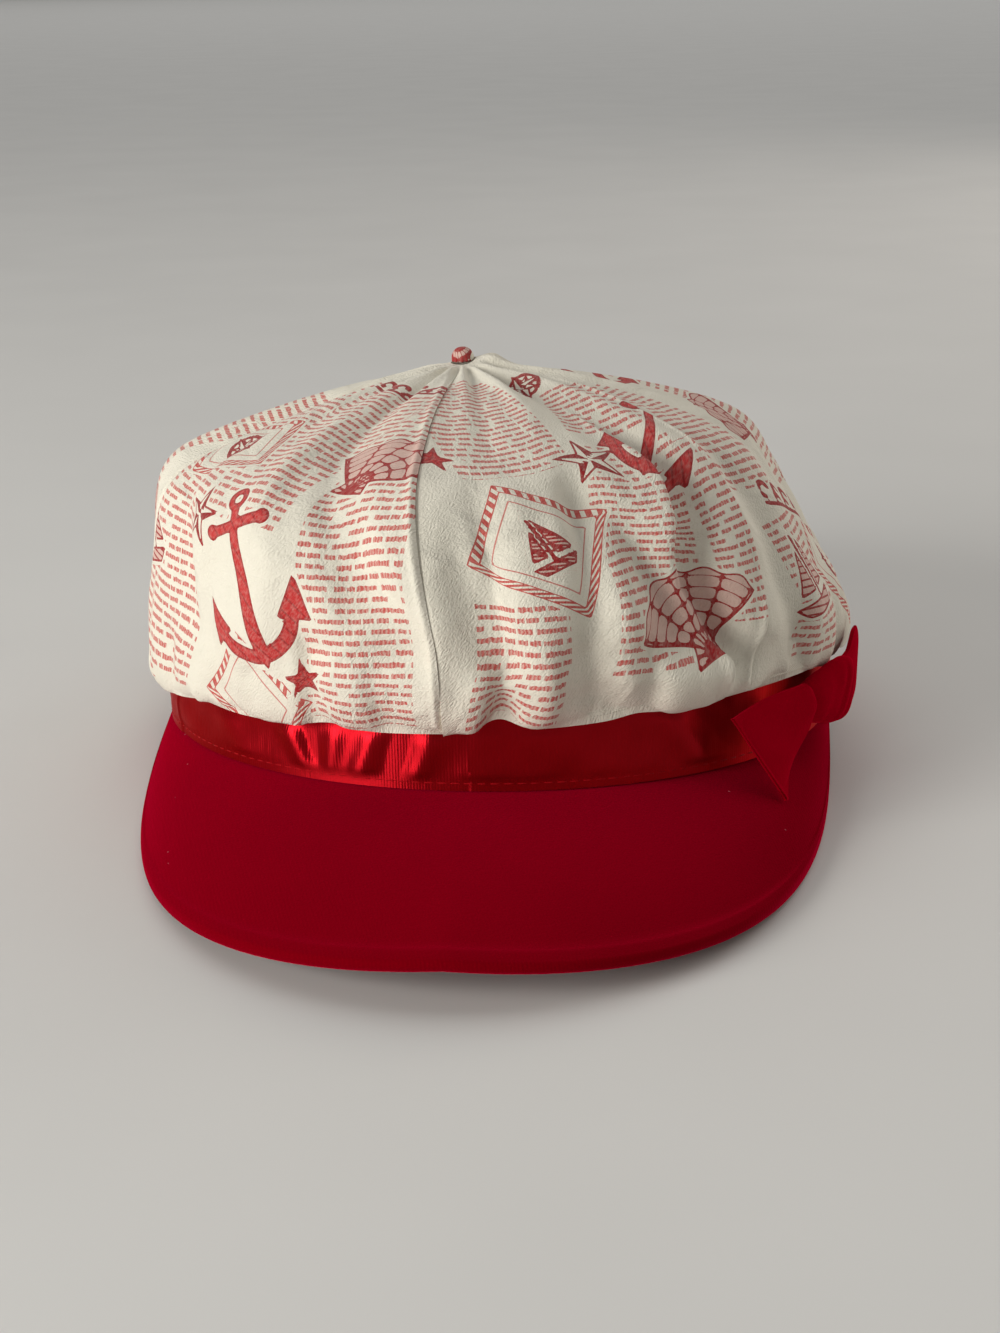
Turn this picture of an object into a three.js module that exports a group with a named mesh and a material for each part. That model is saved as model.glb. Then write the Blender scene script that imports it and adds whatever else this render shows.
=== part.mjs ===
// A child's newsboy cap in printed cotton, in millimetres with +Z up: six crown panels and a covered
// button, a headband, a satin ribbon round it, a stiff peak and a bow. The peak points along -Y and the
// bow sits on the +X side. The origin is the middle of the underside of the cap's bounding box.

import * as THREE from "three";

const DEG = Math.PI / 180;
const GAP = 0.3;

// The band: an upright oval wall whose front stands above the surface and whose back rests on it.
const BAND_HALF_WIDTH = 84;
const BAND_HALF_DEPTH = 93.65;
const BAND_RISE = 15.84;
const BAND_RISE_POWER = 1.8;
const BAND_FLAT_SHARE = 0.067;
const BAND_STEPS = 72;

const RIBBON_OUT = -0.4;
const RIBBON_WALL = 1;
const RIBBON_START = 2.6;
const RIBBON_TOP = RIBBON_START + 23;

const HEADBAND_OUT = RIBBON_OUT - RIBBON_WALL - GAP;
const HEADBAND_WALL = 1.6;
const HEADBAND_HEIGHT = 26.6;

// The peak: its rim is a rounded outline whose reach fades out at both ends.
const PEAK_HALF_SWEEP = 88.15;
const PEAK_REACH = 58.4;
const PEAK_ROUNDNESS = 4.6;
const PEAK_END_POWER = 1.31;
const PEAK_END_SHARE = 0.9985;
const PEAK_TAPER = -0.05;
const PEAK_RIM_FRONT = 9.7;
const PEAK_RIM_SIDE = -5.25;
const PEAK_RIM_POWER = 1.23;
const PEAK_WALL = 2.4;
const PEAK_BULGE = 1.6;
const PEAK_STEPS = 40;
const PEAK_ROWS = 5;
const PEAK_RIM_TURNS = [60, 20, -20, -60];

// The crown: the cloth leaves the button, falls over the shoulder, turns under at the hem and goes up
// inside to the top edge of the headband.
const CROWN_WALL = 1.2;
const CROWN_TOP = 90.8;
const CROWN_TOP_SHARE = 0.035;
const CREST_SHARE = 0.34;
const BROW_SHARE = 0.7;
const CROWN_LEAN_X = -8;
const CROWN_LEAN_Y = 1;
const TUCK_OUT = RIBBON_OUT + 0.35;
const TUCK_END_OUT = HEADBAND_OUT - HEADBAND_WALL;
const TUCK_BELOW_BAND_TOP = 1.5;
const SEAT_GAP = GAP + 0.05;
const SEAT_TURN_DOWN = 0.4;
const SEAT_TURN_IN = 0.6;
const HEM_TURN = 3.4;
const FOLD_CLEARANCE = 9;
const PANEL_COLUMNS = 10;

// The crown's outline in eight directions, in degrees from the front towards the bow. Columns named z
// are heights, columns named out are distances outside the band's oval.
const CROWN_FORM = [
  { dir: 0, crestZ: 89.8, browZ: 84.3, shoulderOut: -7, shoulderZ: 76, sideOut: 5, sideZ: 60,
    bellyOut: 7, bellyZ: 46, hemOut: 5.5, hemZ: 32.8 },
  { dir: 45, crestZ: 89, browZ: 83, shoulderOut: -7, shoulderZ: 72, sideOut: 1, sideZ: 57,
    bellyOut: 4.5, bellyZ: 45, hemOut: 4.4, hemZ: 32.4 },
  { dir: 90, crestZ: 87.8, browZ: 80.5, shoulderOut: -10.5, shoulderZ: 64, sideOut: -3.5, sideZ: 46,
    bellyOut: 2.3, bellyZ: 35, hemOut: 3.1, hemZ: 22 },
  { dir: 135, crestZ: 81, browZ: 70, shoulderOut: -9, shoulderZ: 57, sideOut: -1, sideZ: 42,
    bellyOut: 4, bellyZ: 29, hemOut: 4, hemZ: 15 },
  { dir: 180, crestZ: 77.5, browZ: 64, shoulderOut: -8, shoulderZ: 50, sideOut: 3, sideZ: 38,
    bellyOut: 6, bellyZ: 26, hemOut: 5, hemZ: 12 },
  { dir: 225, crestZ: 79.5, browZ: 67, shoulderOut: -10, shoulderZ: 55, sideOut: 0, sideZ: 42,
    bellyOut: 5, bellyZ: 26, hemOut: 4.5, hemZ: 11 },
  { dir: 270, crestZ: 84.5, browZ: 75.5, shoulderOut: -9, shoulderZ: 66, sideOut: -1.2, sideZ: 50,
    bellyOut: 3, bellyZ: 33, hemOut: 3.4, hemZ: 12.5 },
  { dir: 315, crestZ: 88, browZ: 81, shoulderOut: -7, shoulderZ: 73, sideOut: 1.5, sideZ: 57,
    bellyOut: 4.5, bellyZ: 42, hemOut: 4.5, hemZ: 27 },
];

// Where two panels meet, in degrees at the hem and at the button.
const CROWN_SEAMS = [
  { name: "front", hem: -3, top: -3 },
  { name: "bow_side_front", hem: 43, top: 80 },
  { name: "bow_side_back", hem: 104, top: 125 },
  { name: "back", hem: 166, top: 168 },
  { name: "plain_side_back", hem: 229, top: 230 },
  { name: "plain_side_front", hem: 289, top: 290 },
];

// Folds and dents of the crown: each runs from one direction and height to another, is so many degrees
// wide, and pushes the cloth out by depth at its middle. Negative depths are valleys.
const CROWN_FOLDS = [
  { name: "side_crease", fromDir: 25, fromZ: 86, toDir: 33, toZ: 40, width: 5, depth: -4.5 },
  { name: "side_hollow", fromDir: 36, fromZ: 62, toDir: 37, toZ: 44, width: 7, depth: -3.5 },
  { name: "seam_ledge", fromDir: 46, fromZ: 60, toDir: 46, toZ: 44, width: 5, depth: 1.8 },
  { name: "seam_fold", fromDir: 2.5, fromZ: 66, toDir: 4.5, toZ: 32, width: 3.5, depth: -3.2 },
  { name: "brow_dent", fromDir: -13, fromZ: 78, toDir: -9, toZ: 50, width: 5, depth: -2.2 },
  { name: "low_dent", fromDir: -20, fromZ: 48, toDir: -20, toZ: 31, width: 4, depth: -1.6 },
  { name: "pinch", fromDir: 23, fromZ: 44, toDir: 24, toZ: 31, width: 3.5, depth: -2 },
  { name: "plain_side_dent", fromDir: -52, fromZ: 66, toDir: -46, toZ: 34, width: 7, depth: -2 },
  { name: "bow_side_roll", fromDir: 62, fromZ: 74, toDir: 58, toZ: 38, width: 7, depth: 1.8 },
  { name: "back_fold", fromDir: 150, fromZ: 62, toDir: 158, toZ: 18, width: 6, depth: -3 },
  { name: "back_dent", fromDir: 205, fromZ: 60, toDir: 196, toZ: 20, width: 7, depth: -3 },
  { name: "back_corner_dent", fromDir: 118, fromZ: 60, toDir: 124, toZ: 22, width: 6, depth: -2.5 },
  { name: "plain_corner_dent", fromDir: 250, fromZ: 62, toDir: 255, toZ: 22, width: 6, depth: -2.5 },
];
const FOLD_END_FADE = 9;
const SEAM_EASE = 0.45;

// Pleats that the hem's lower edge makes: how far it is pulled up, at a direction and over a width.
const HEM_LIFTS = [
  { dir: 4.5, width: 3, lift: 3 },
  { dir: -20, width: 4, lift: 1.4 },
  { dir: 24, width: 3, lift: 0.8 },
  { dir: -46, width: 6, lift: 1 },
  { dir: 158, width: 5, lift: 3 },
  { dir: 197, width: 6, lift: 3 },
  { dir: 124, width: 5, lift: 2 },
  { dir: 254, width: 5, lift: 2 },
];

const BUTTON_RADIUS = 3.4;
const BUTTON_HEIGHT = 3.5;
const BUTTON_FOOT_RADIUS = 2.9;
const BUTTON_EDGE_HEIGHT = 0.8;
const BUTTON_LIFT = 0.5;
const BUTTON_TILT = -10;
const BUTTON_SIDES = 20;
const BUTTON_ROWS = 6;

// The bow: a flat loop on the peak's side, a knot, and an open loop that stands off the crown.
const BOW_DIR = 57;
const BOW_Z = 22.5;
const BOW_WALL = 1.1;
const BOW_KNOT = { alongHalf: 5.5, outHalf: 3.8, heightHalf: 7, out: 4.4, tilt: 12, flatness: 0.6 };
const KNOT_SIDES = 20;
const KNOT_ROWS = 10;
const BOW_LOOPS = [
  { name: "bow_front_loop", side: -1, start: 5.8, length: 18.5, halfDepth: 2, knotOut: 3.6, endOut: 5.7,
    knotWidth: 10, midWidth: 14, endWidth: 17, midRise: -0.4, endRise: -2.2, lean: 0.4, skew: 5 },
  { name: "bow_back_loop", side: 1, start: 5.8, length: 25, halfDepth: 2.3, knotOut: 6.3, endOut: 6.5,
    knotWidth: 10, midWidth: 20, endWidth: 16, midRise: 1, endRise: -0.8, lean: 0, skew: 0 },
];
const BOW_STEPS = 22;
const BOW_ROWS = 4;

const FINISHES = {
  print: { color: 0xe9e4da, roughness: 0.9 },
  ground: { color: 0xe8e3d8, roughness: 0.9 },
  satin: { color: 0xa80f18, roughness: 0.35 },
  peak: { color: 0x9c0a1e, roughness: 0.75 },
  bow: { color: 0xa60c26, roughness: 0.7 },
};

const cap = new THREE.Group();

/** A point of the band's oval, in a direction in degrees from the front, so far outside it. */
function ovalPoint(dir, out, z) {
  return new THREE.Vector3(
    (BAND_HALF_WIDTH + out) * Math.sin(dir * DEG),
    -(BAND_HALF_DEPTH + out) * Math.cos(dir * DEG),
    z,
  );
}

/** The height of the headband's lower edge. */
function bandBottom(dir) {
  const share = (1 + Math.cos(dir * DEG)) / 2;
  const above = Math.max(0, (share - BAND_FLAT_SHARE) / (1 - BAND_FLAT_SHARE));
  return BAND_RISE * above ** BAND_RISE_POWER;
}

/** A smooth value between b and c, with a before them and d after them. */
function smooth(a, b, c, d, share) {
  const slope = (c - a) / 2;
  const nextSlope = (d - b) / 2;
  const bend = 3 * (c - b) - 2 * slope - nextSlope;
  const twist = 2 * (b - c) + slope + nextSlope;
  return b + share * (slope + share * (bend + share * twist));
}

/** One column of the crown's form table, read smoothly at any direction. */
function formValue(column, dir) {
  const count = CROWN_FORM.length;
  const step = 360 / count;
  const place = (((dir % 360) + 360) % 360) / step;
  const row = Math.floor(place);
  const near = [-1, 0, 1, 2].map((k) => CROWN_FORM[(row + k + count) % count][column]);
  return smooth(...near, place - row);
}

/** The shortest way round from one direction to another, in degrees. */
function turn(from, to) {
  return ((((to - from) % 360) + 540) % 360) - 180;
}

/** A bump of height 1 that is gone at about twice its width. */
function bump(distance, width) {
  return Math.exp(-((distance / width) ** 2));
}

/** How far the folds push the crown out, in a direction and at a height. */
function foldDepth(dir, z) {
  return CROWN_FOLDS.reduce((sum, fold) => {
    const along = THREE.MathUtils.clamp((fold.fromZ - z) / (fold.fromZ - fold.toZ), 0, 1);
    const middle = fold.fromDir + turn(fold.fromDir, fold.toDir) * along;
    const past = Math.max(z - fold.fromZ, fold.toZ - z, 0);
    return sum + fold.depth * bump(turn(middle, dir), fold.width) * bump(past, FOLD_END_FADE);
  }, 0);
}

// How many rows of faces each stretch of the profile takes, from the button to the tuck's end.
const PROFILE_STEPS = [3, 3, 4, 4, 3, 2, 2, 2, 1, 1, 1];
const HEM_PLACE = 6 / PROFILE_STEPS.length;
const TUCK_PLACE = 7 / PROFILE_STEPS.length;
const NORMAL_STEP = 1e-3;

/** The places of the rows along the profile, from 0 to 1. */
function profilePlaces() {
  const stretches = PROFILE_STEPS.length;
  const places = PROFILE_STEPS.flatMap((steps, i) =>
    Array.from({ length: steps }, (_, k) => (i + k / steps) / stretches),
  );
  return [...places, 1];
}

/** The crown's profile in one direction: a smooth line of reach and height from the button to the tuck. */
function crownProfile(dir) {
  const value = (column) => formValue(column, dir);
  const bandTop = bandBottom(dir) + HEADBAND_HEIGHT;
  const lift = HEM_LIFTS.reduce((sum, row) => sum + row.lift * bump(turn(row.dir, dir), row.width), 0);
  const hemZ = value("hemZ") + lift;
  const hemOut = value("hemOut");
  const seatZ = bandTop + SEAT_GAP;
  const tuckZ = Math.min(hemZ + HEM_TURN, bandTop - TUCK_BELOW_BAND_TOP);
  const rows = [
    { share: CROWN_TOP_SHARE, out: 0, z: CROWN_TOP },
    { share: CREST_SHARE, out: 0, z: value("crestZ") },
    { share: BROW_SHARE, out: 0, z: value("browZ") },
    { share: 1, out: value("shoulderOut"), z: value("shoulderZ") },
    { share: 1, out: value("sideOut"), z: value("sideZ") },
    { share: 1, out: value("bellyOut"), z: value("bellyZ") },
    { share: 1, out: hemOut, z: hemZ + HEM_TURN },
    { share: 1, out: (hemOut + TUCK_OUT) / 2, z: hemZ },
    { share: 1, out: TUCK_OUT, z: tuckZ },
    { share: 1, out: TUCK_OUT, z: seatZ - SEAT_TURN_DOWN },
    { share: 1, out: TUCK_OUT - SEAT_TURN_IN, z: seatZ },
    { share: 1, out: TUCK_END_OUT, z: seatZ },
  ];
  const points = rows.map((row) => new THREE.Vector3(row.share, row.out, row.z));
  return { curve: new THREE.CatmullRomCurve3(points, false, "centripetal"), bandTop };
}

const profiles = new Map();

/** A point of the crown's outer face: place runs from 0 at the button to 1 at the tuck's end. */
function crownPoint(dir, place) {
  const key = dir.toFixed(5);
  if (!profiles.has(key)) profiles.set(key, crownProfile(dir));
  const { curve, bandTop } = profiles.get(key);
  const { x: share, y: out, z } = curve.getPoint(place);
  const outside = place < TUCK_PLACE ? THREE.MathUtils.smoothstep(share, CREST_SHARE, 1) : 0;
  const clear = THREE.MathUtils.smoothstep(z, bandTop, bandTop + FOLD_CLEARANCE);
  const push = foldDepth(dir, z) * outside * clear;
  const lean = THREE.MathUtils.smoothstep(z, bandTop, CROWN_TOP);
  return new THREE.Vector3(
    (BAND_HALF_WIDTH + out + push) * share * Math.sin(dir * DEG) + CROWN_LEAN_X * lean,
    -(BAND_HALF_DEPTH + out + push) * share * Math.cos(dir * DEG) + CROWN_LEAN_Y * lean,
    z,
  );
}

/** The same place on the crown's inner face, a wall's thickness in, within the upright plane. */
function crownInnerPoint(dir, place) {
  const low = Math.max(place - NORMAL_STEP, 0);
  const high = Math.min(place + NORMAL_STEP, 1);
  const along = crownPoint(dir, high).sub(crownPoint(dir, low));
  const round = new THREE.Vector3(
    BAND_HALF_WIDTH * Math.cos(dir * DEG),
    BAND_HALF_DEPTH * Math.sin(dir * DEG),
    0,
  );
  const normal = round.cross(along).normalize();
  return crownPoint(dir, place).addScaledVector(normal, CROWN_WALL);
}

/**
 * A closed body lofted through sections. A section is a loop of points: its first half is one face of
 * the wall and its second half runs back along the other. Open lofts are closed at both ends by strips
 * from face to face.
 */
function loft(name, finish, sections, closed) {
  const size = sections[0].length;
  const positions = sections.flat().flatMap((point) => point.toArray());
  const triangles = [];
  const quad = (a, b, c, d) => triangles.push(a, b, c, a, c, d);
  const last = closed ? sections.length : sections.length - 1;
  for (let i = 0; i < last; i++) {
    const here = i * size;
    const next = ((i + 1) % sections.length) * size;
    for (let j = 0; j < size; j++) {
      const after = (j + 1) % size;
      quad(here + j, next + j, next + after, here + after);
    }
  }
  if (!closed) {
    const end = (sections.length - 1) * size;
    for (let j = 0; j < size / 2 - 1; j++) {
      const back = size - 1 - j;
      quad(j, j + 1, back - 1, back);
      quad(end + back, end + back - 1, end + j + 1, end + j);
    }
  }
  const geometry = new THREE.BufferGeometry();
  geometry.setAttribute("position", new THREE.Float32BufferAttribute(positions, 3));
  geometry.setIndex(triangles);
  faceOutwards(geometry);
  geometry.computeVertexNormals();
  addPiece(name, finish, geometry);
}

/** Turns a closed geometry's triangles round if they face inwards. */
function faceOutwards(geometry) {
  const { array } = geometry.index;
  const corners = geometry.attributes.position;
  const [a, b, c] = [new THREE.Vector3(), new THREE.Vector3(), new THREE.Vector3()];
  let volume = 0;
  for (let i = 0; i < array.length; i += 3) {
    a.fromBufferAttribute(corners, array[i]);
    b.fromBufferAttribute(corners, array[i + 1]);
    c.fromBufferAttribute(corners, array[i + 2]);
    volume += a.dot(b.cross(c));
  }
  if (volume > 0) return;
  for (let i = 0; i < array.length; i += 3) [array[i], array[i + 1]] = [array[i + 1], array[i]];
}

/** Adds one named piece with its own material to the cap. */
function addPiece(name, finish, geometry) {
  const material = new THREE.MeshStandardMaterial({ ...finish, metalness: 0 });
  const mesh = new THREE.Mesh(geometry, material);
  mesh.name = name;
  cap.add(mesh);
  return mesh;
}

/** Whole numbers from 0 to count, each as a share of count. */
function shares(count) {
  return Array.from({ length: count + 1 }, (_, i) => i / count);
}

/** Six panels, each a thin wall between two seams. */
function buildCrown() {
  CROWN_SEAMS.forEach((seam, i) => {
    const next = CROWN_SEAMS[(i + 1) % CROWN_SEAMS.length];
    const sections = shares(PANEL_COLUMNS).map((across) => {
      const dirAt = (place) => {
        const fall = Math.min(place / HEM_PLACE, 1) ** SEAM_EASE;
        const from = THREE.MathUtils.lerp(seam.top, seam.hem, fall);
        const to = THREE.MathUtils.lerp(next.top, next.hem, fall);
        const middle = new THREE.Vector3(CROWN_LEAN_X * (1 - fall), 0, 0);
        const reach = crownPoint(from, place).setZ(0).distanceTo(middle);
        const margin = GAP / 2 / reach / DEG;
        return from + margin + across * (turn(from, to) - 2 * margin);
      };
      const places = profilePlaces();
      const outer = places.map((place) => crownPoint(dirAt(place), place));
      const inner = places.map((place) => crownInnerPoint(dirAt(place), place));
      return [...outer, ...inner.reverse()];
    });
    loft("crown_panel_" + (i + 1), FINISHES.print, sections, false);
  });
}

/** A covered button: a low dome with a rounded edge. */
function buildButton() {
  const profile = [
    new THREE.Vector2(0, 0),
    new THREE.Vector2(BUTTON_FOOT_RADIUS, 0),
    ...shares(BUTTON_ROWS).map((share) => {
      const angle = share * 90 * DEG;
      return new THREE.Vector2(
        BUTTON_RADIUS * Math.cos(angle),
        BUTTON_EDGE_HEIGHT + (BUTTON_HEIGHT - BUTTON_EDGE_HEIGHT) * Math.sin(angle),
      );
    }),
  ];
  profile[profile.length - 1].x = 0;
  const geometry = new THREE.LatheGeometry(profile, BUTTON_SIDES).rotateX(90 * DEG);
  const button = addPiece("crown_button", FINISHES.print, geometry);
  button.rotation.y = BUTTON_TILT * DEG;
  button.position.set(CROWN_LEAN_X, CROWN_LEAN_Y, CROWN_TOP + BUTTON_LIFT);
}

/** An upright oval wall from one height above the band's lower edge to another. */
function buildBandWall(name, finish, out, wall, from, to) {
  const sections = Array.from({ length: BAND_STEPS }, (_, i) => {
    const dir = (i * 360) / BAND_STEPS;
    const bottom = bandBottom(dir);
    return [
      ovalPoint(dir, out, bottom + from),
      ovalPoint(dir, out, bottom + to),
      ovalPoint(dir, out - wall, bottom + to),
      ovalPoint(dir, out - wall, bottom + from),
    ];
  });
  loft(name, finish, sections, true);
}

/** The peak: a thin board that leaves the headband under the ribbon and ends in a rounded rim. */
function buildPeak() {
  const sections = shares(PEAK_STEPS).map((share) => {
    const place = PEAK_END_SHARE * Math.sin((share - 0.5) * Math.PI);
    const dir = place * PEAK_HALF_SWEEP;
    const reach = (1 - Math.abs(place) ** PEAK_ROUNDNESS) ** (1 / PEAK_END_POWER);
    const sideways = 1 - Math.abs(place) ** PEAK_RIM_POWER;
    const rimZ = PEAK_RIM_SIDE + (PEAK_RIM_FRONT - PEAK_RIM_SIDE) * sideways;
    const topZ = bandBottom(dir) + RIBBON_START - GAP;
    const start = ovalPoint(dir, HEADBAND_OUT + GAP, topZ);
    const midZ = topZ - PEAK_WALL / 2;
    const end = ovalPoint(dir, 0, midZ * (1 - reach) + rimZ * reach);
    const ahead = (PEAK_REACH - PEAK_WALL / 2) * reach;
    end.x += ahead * Math.sin(PEAK_TAPER * dir * DEG);
    end.y -= ahead * Math.cos(PEAK_TAPER * dir * DEG);
    const faces = [1, -1].map((side) =>
      shares(PEAK_ROWS).map((along) => {
        const point = new THREE.Vector3().lerpVectors(start.clone().setZ(midZ), end, along);
        point.z += PEAK_BULGE * reach * 4 * along * (1 - along) + (side * PEAK_WALL) / 2;
        return point;
      }),
    );
    const rim = PEAK_RIM_TURNS.map((angle) => {
      const point = end.clone();
      point.y -= (PEAK_WALL / 2) * Math.cos(angle * DEG) * Math.sqrt(reach);
      point.z += (PEAK_WALL / 2) * Math.sin(angle * DEG);
      return point;
    });
    return [...faces[0], ...rim, ...faces[1].reverse()];
  });
  loft("peak", FINISHES.peak, sections, false);
}

/** A point of the bow: along the band, out of it, and up, all from the knot's middle. */
function bowPoint(along, out, up) {
  const radius = (BAND_HALF_WIDTH + BAND_HALF_DEPTH) / 2;
  return ovalPoint(BOW_DIR + along / radius / DEG, out, BOW_Z + up);
}

/** A smooth value that takes a given size at the knot, half way out and at the loop's far end. */
function alongLoop(knot, middle, end, far) {
  return knot * (1 - far) * (1 - 2 * far) + 4 * middle * far * (1 - far) + end * far * (2 * far - 1);
}

/** One loop of the bow: an open tube of ribbon, narrow at the knot and wide at its far end. */
function buildBowLoop(loop) {
  const halfLength = loop.length / 2;
  const sections = Array.from({ length: BOW_STEPS }, (_, i) => {
    const angle = (i / BOW_STEPS) * 2 * Math.PI;
    const far = (1 - Math.cos(angle)) / 2;
    const width = alongLoop(loop.knotWidth, loop.midWidth, loop.endWidth, far);
    const rise = alongLoop(0, loop.midRise, loop.endRise, far);
    const middle = THREE.MathUtils.lerp(loop.knotOut, loop.endOut, far);
    const face = (inset) =>
      shares(BOW_ROWS).map((row) => {
        const up = (row - 0.5) * width;
        const reach = halfLength - (halfLength - inset) * Math.cos(angle);
        const out = middle + (loop.halfDepth - inset) * Math.sin(angle) - loop.lean * far * up;
        const along = loop.side * (loop.start + reach + loop.skew * far * (row - 0.5));
        return bowPoint(along, out, up + rise);
      });
    return [...face(0), ...face(BOW_WALL).reverse()];
  });
  loft(loop.name, FINISHES.bow, sections, true);
}

/** The knot: a short barrel of wrapped ribbon, flattened against the band. */
function buildBowKnot() {
  const { alongHalf, outHalf, heightHalf, out, tilt, flatness } = BOW_KNOT;
  const profile = shares(KNOT_ROWS).map((share) => {
    const angle = (share - 0.5) * Math.PI;
    return new THREE.Vector2(Math.cos(angle) ** flatness, Math.sin(angle));
  });
  profile[0].x = 0;
  profile[profile.length - 1].x = 0;
  const geometry = new THREE.LatheGeometry(profile, KNOT_SIDES).rotateX(90 * DEG);
  geometry.scale(alongHalf, outHalf, heightHalf);
  const knot = addPiece("bow_knot", FINISHES.bow, geometry);
  const middle = ovalPoint(BOW_DIR, out, BOW_Z);
  const ahead = ovalPoint(BOW_DIR + 1, out, BOW_Z);
  knot.position.copy(middle);
  knot.rotation.set(0, tilt * DEG, Math.atan2(ahead.y - middle.y, ahead.x - middle.x), "ZYX");
}

/** Moves the cap so that its origin is the middle of the underside of its bounding box. */
function standAtOrigin() {
  const box = new THREE.Box3().setFromObject(cap, true);
  const middle = box.getCenter(new THREE.Vector3());
  cap.children.forEach((piece) => piece.position.sub(new THREE.Vector3(middle.x, middle.y, box.min.z)));
}

buildBandWall("headband", FINISHES.ground, HEADBAND_OUT, HEADBAND_WALL, 0, HEADBAND_HEIGHT);
buildBandWall("ribbon", FINISHES.satin, RIBBON_OUT, RIBBON_WALL, RIBBON_START, RIBBON_TOP);
buildPeak();
buildCrown();
buildButton();
BOW_LOOPS.forEach(buildBowLoop);
buildBowKnot();
standAtOrigin();

export default cap;
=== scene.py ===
"""Looks of a child's newsboy cap: a printed cotton crown, a satin ribbon, a crimson peak and a side bow.

Every size is in millimetres, in a frame whose origin is the middle of the headband's oval on the surface that
the cap rests on. The peak points along -Y and the bow sits on the +X side. Directions are in degrees from the
front towards the bow.
"""
import logging
import math
from collections.abc import Callable, Iterator, Sequence
from contextlib import contextmanager
from dataclasses import dataclass
from enum import Enum

import bpy
import numpy as np
from mathutils import Matrix, Vector


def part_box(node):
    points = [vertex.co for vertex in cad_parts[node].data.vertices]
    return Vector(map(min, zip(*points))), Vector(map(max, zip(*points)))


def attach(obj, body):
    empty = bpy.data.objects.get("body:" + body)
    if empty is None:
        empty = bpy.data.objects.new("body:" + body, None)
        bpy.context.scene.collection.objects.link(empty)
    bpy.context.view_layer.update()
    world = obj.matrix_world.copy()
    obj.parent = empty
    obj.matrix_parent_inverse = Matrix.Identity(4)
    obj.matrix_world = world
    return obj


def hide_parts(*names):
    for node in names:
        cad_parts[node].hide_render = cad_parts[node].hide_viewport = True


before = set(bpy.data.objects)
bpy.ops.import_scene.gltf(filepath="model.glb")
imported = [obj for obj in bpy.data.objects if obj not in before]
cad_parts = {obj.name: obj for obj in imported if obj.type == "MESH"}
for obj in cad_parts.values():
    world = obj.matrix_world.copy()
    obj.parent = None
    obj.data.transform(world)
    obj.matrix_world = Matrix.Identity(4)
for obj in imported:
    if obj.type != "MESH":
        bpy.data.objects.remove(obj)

MM = 0.001
BODY = "root"
SMOOTH_ANGLE = 50.0
JOIN_DISTANCE = 0.01
SKIN_JOIN_DISTANCE = 0.001

log = logging.getLogger("cap")

Array = np.ndarray
Piece = bpy.types.Object
Material = bpy.types.Material


def band_middle() -> Array:
    """The middle of the headband's oval on the resting surface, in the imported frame, in millimetres."""
    low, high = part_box("headband")
    return np.array([(low.x + high.x) / 2, (low.y + high.y) / 2, 0.0]) / MM


MIDDLE = band_middle()


def smooth_step(value: Array, low: float | Array, high: float | Array) -> Array:
    """A smooth rise from 0 at low to 1 at high."""
    share = np.clip((value - low) / (high - low), 0, 1)
    return share * share * (3 - 2 * share)


def bump(distance: Array, width: float | Array) -> Array:
    """A bump of height 1 that is gone at about twice its width."""
    return np.exp(-((distance / width) ** 2))


def curve(start: Array, end: Array, slope: Array, end_slope: Array, share: Array) -> Array:
    """A smooth curve from one value to the next.

    Args:
        start: where it starts.
        end: where it ends.
        slope: how steeply it starts.
        end_slope: how steeply it ends.
        share: how far along it to read, from 0 to 1.

    Returns:
        The values there.
    """
    bend = 3 * (end - start) - 2 * slope - end_slope
    twist = 2 * (start - end) + slope + end_slope
    return start + share * (slope + share * (bend + share * twist))


def turn(start: Array | float, end: Array | float) -> Array | float:
    """The shortest way round from one direction to another, in degrees."""
    return (end - start + 540) % 360 - 180


def linear_colour(code: str) -> tuple[float, float, float, float]:
    """Turns an sRGB hex colour to the linear values that a shader takes.

    Args:
        code: six hex digits.

    Returns:
        Red, green, blue and an alpha of 1.
    """
    parts = [int(code[i : i + 2], 16) / 255 for i in (0, 2, 4)]
    return (*(p / 12.92 if p <= 0.04045 else ((p + 0.055) / 1.055) ** 2.4 for p in parts), 1.0)


@dataclass(frozen=True)
class Band:
    """The upright oval that the headband, ribbon and peak follow. Its front stands off the surface."""

    half_width: float = 84.0
    half_depth: float = 93.65
    rise: float = 15.84
    rise_power: float = 1.8
    flat_share: float = 0.067
    height: float = 26.6

    def point(self, direction: Array, out: Array | float, z: Array | float) -> Array:
        """Points of the oval.

        Args:
            direction: degrees from the front towards the bow.
            out: how far outside the oval.
            z: height.

        Returns:
            Points, with x, y and z along the last axis.
        """
        angle = np.radians(direction)
        x = (self.half_width + out) * np.sin(angle)
        y = -(self.half_depth + out) * np.cos(angle)
        return np.stack(np.broadcast_arrays(x, y, z), axis=-1)

    def bottom(self, direction: Array) -> Array:
        """The height of the headband's lower edge.

        Args:
            direction: degrees from the front towards the bow.

        Returns:
            One height a direction.
        """
        share = (1 + np.cos(np.radians(direction))) / 2
        above = np.maximum(0, (share - self.flat_share) / (1 - self.flat_share))
        return self.rise * above**self.rise_power


BAND = Band()


@dataclass(frozen=True)
class Fold:
    """A fold from one direction and height to another, so many degrees wide. A negative depth is a valley."""

    direction: float
    z: float
    end_direction: float
    end_z: float
    width: float
    depth: float

    def push(self, direction: Array, z: Array, fade: float) -> Array:
        """How far the fold moves the cloth outwards.

        Args:
            direction: degrees from the front, one a point.
            z: height, one a point.
            fade: how far past its ends it dies away.

        Returns:
            One distance a point.
        """
        along = np.clip((self.z - z) / (self.z - self.end_z), 0, 1)
        middle = self.direction + turn(self.direction, self.end_direction) * along
        past = np.maximum.reduce([z - self.z, self.end_z - z, np.zeros_like(z)])
        return self.depth * bump(turn(middle, direction), self.width) * bump(past, fade)


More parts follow.
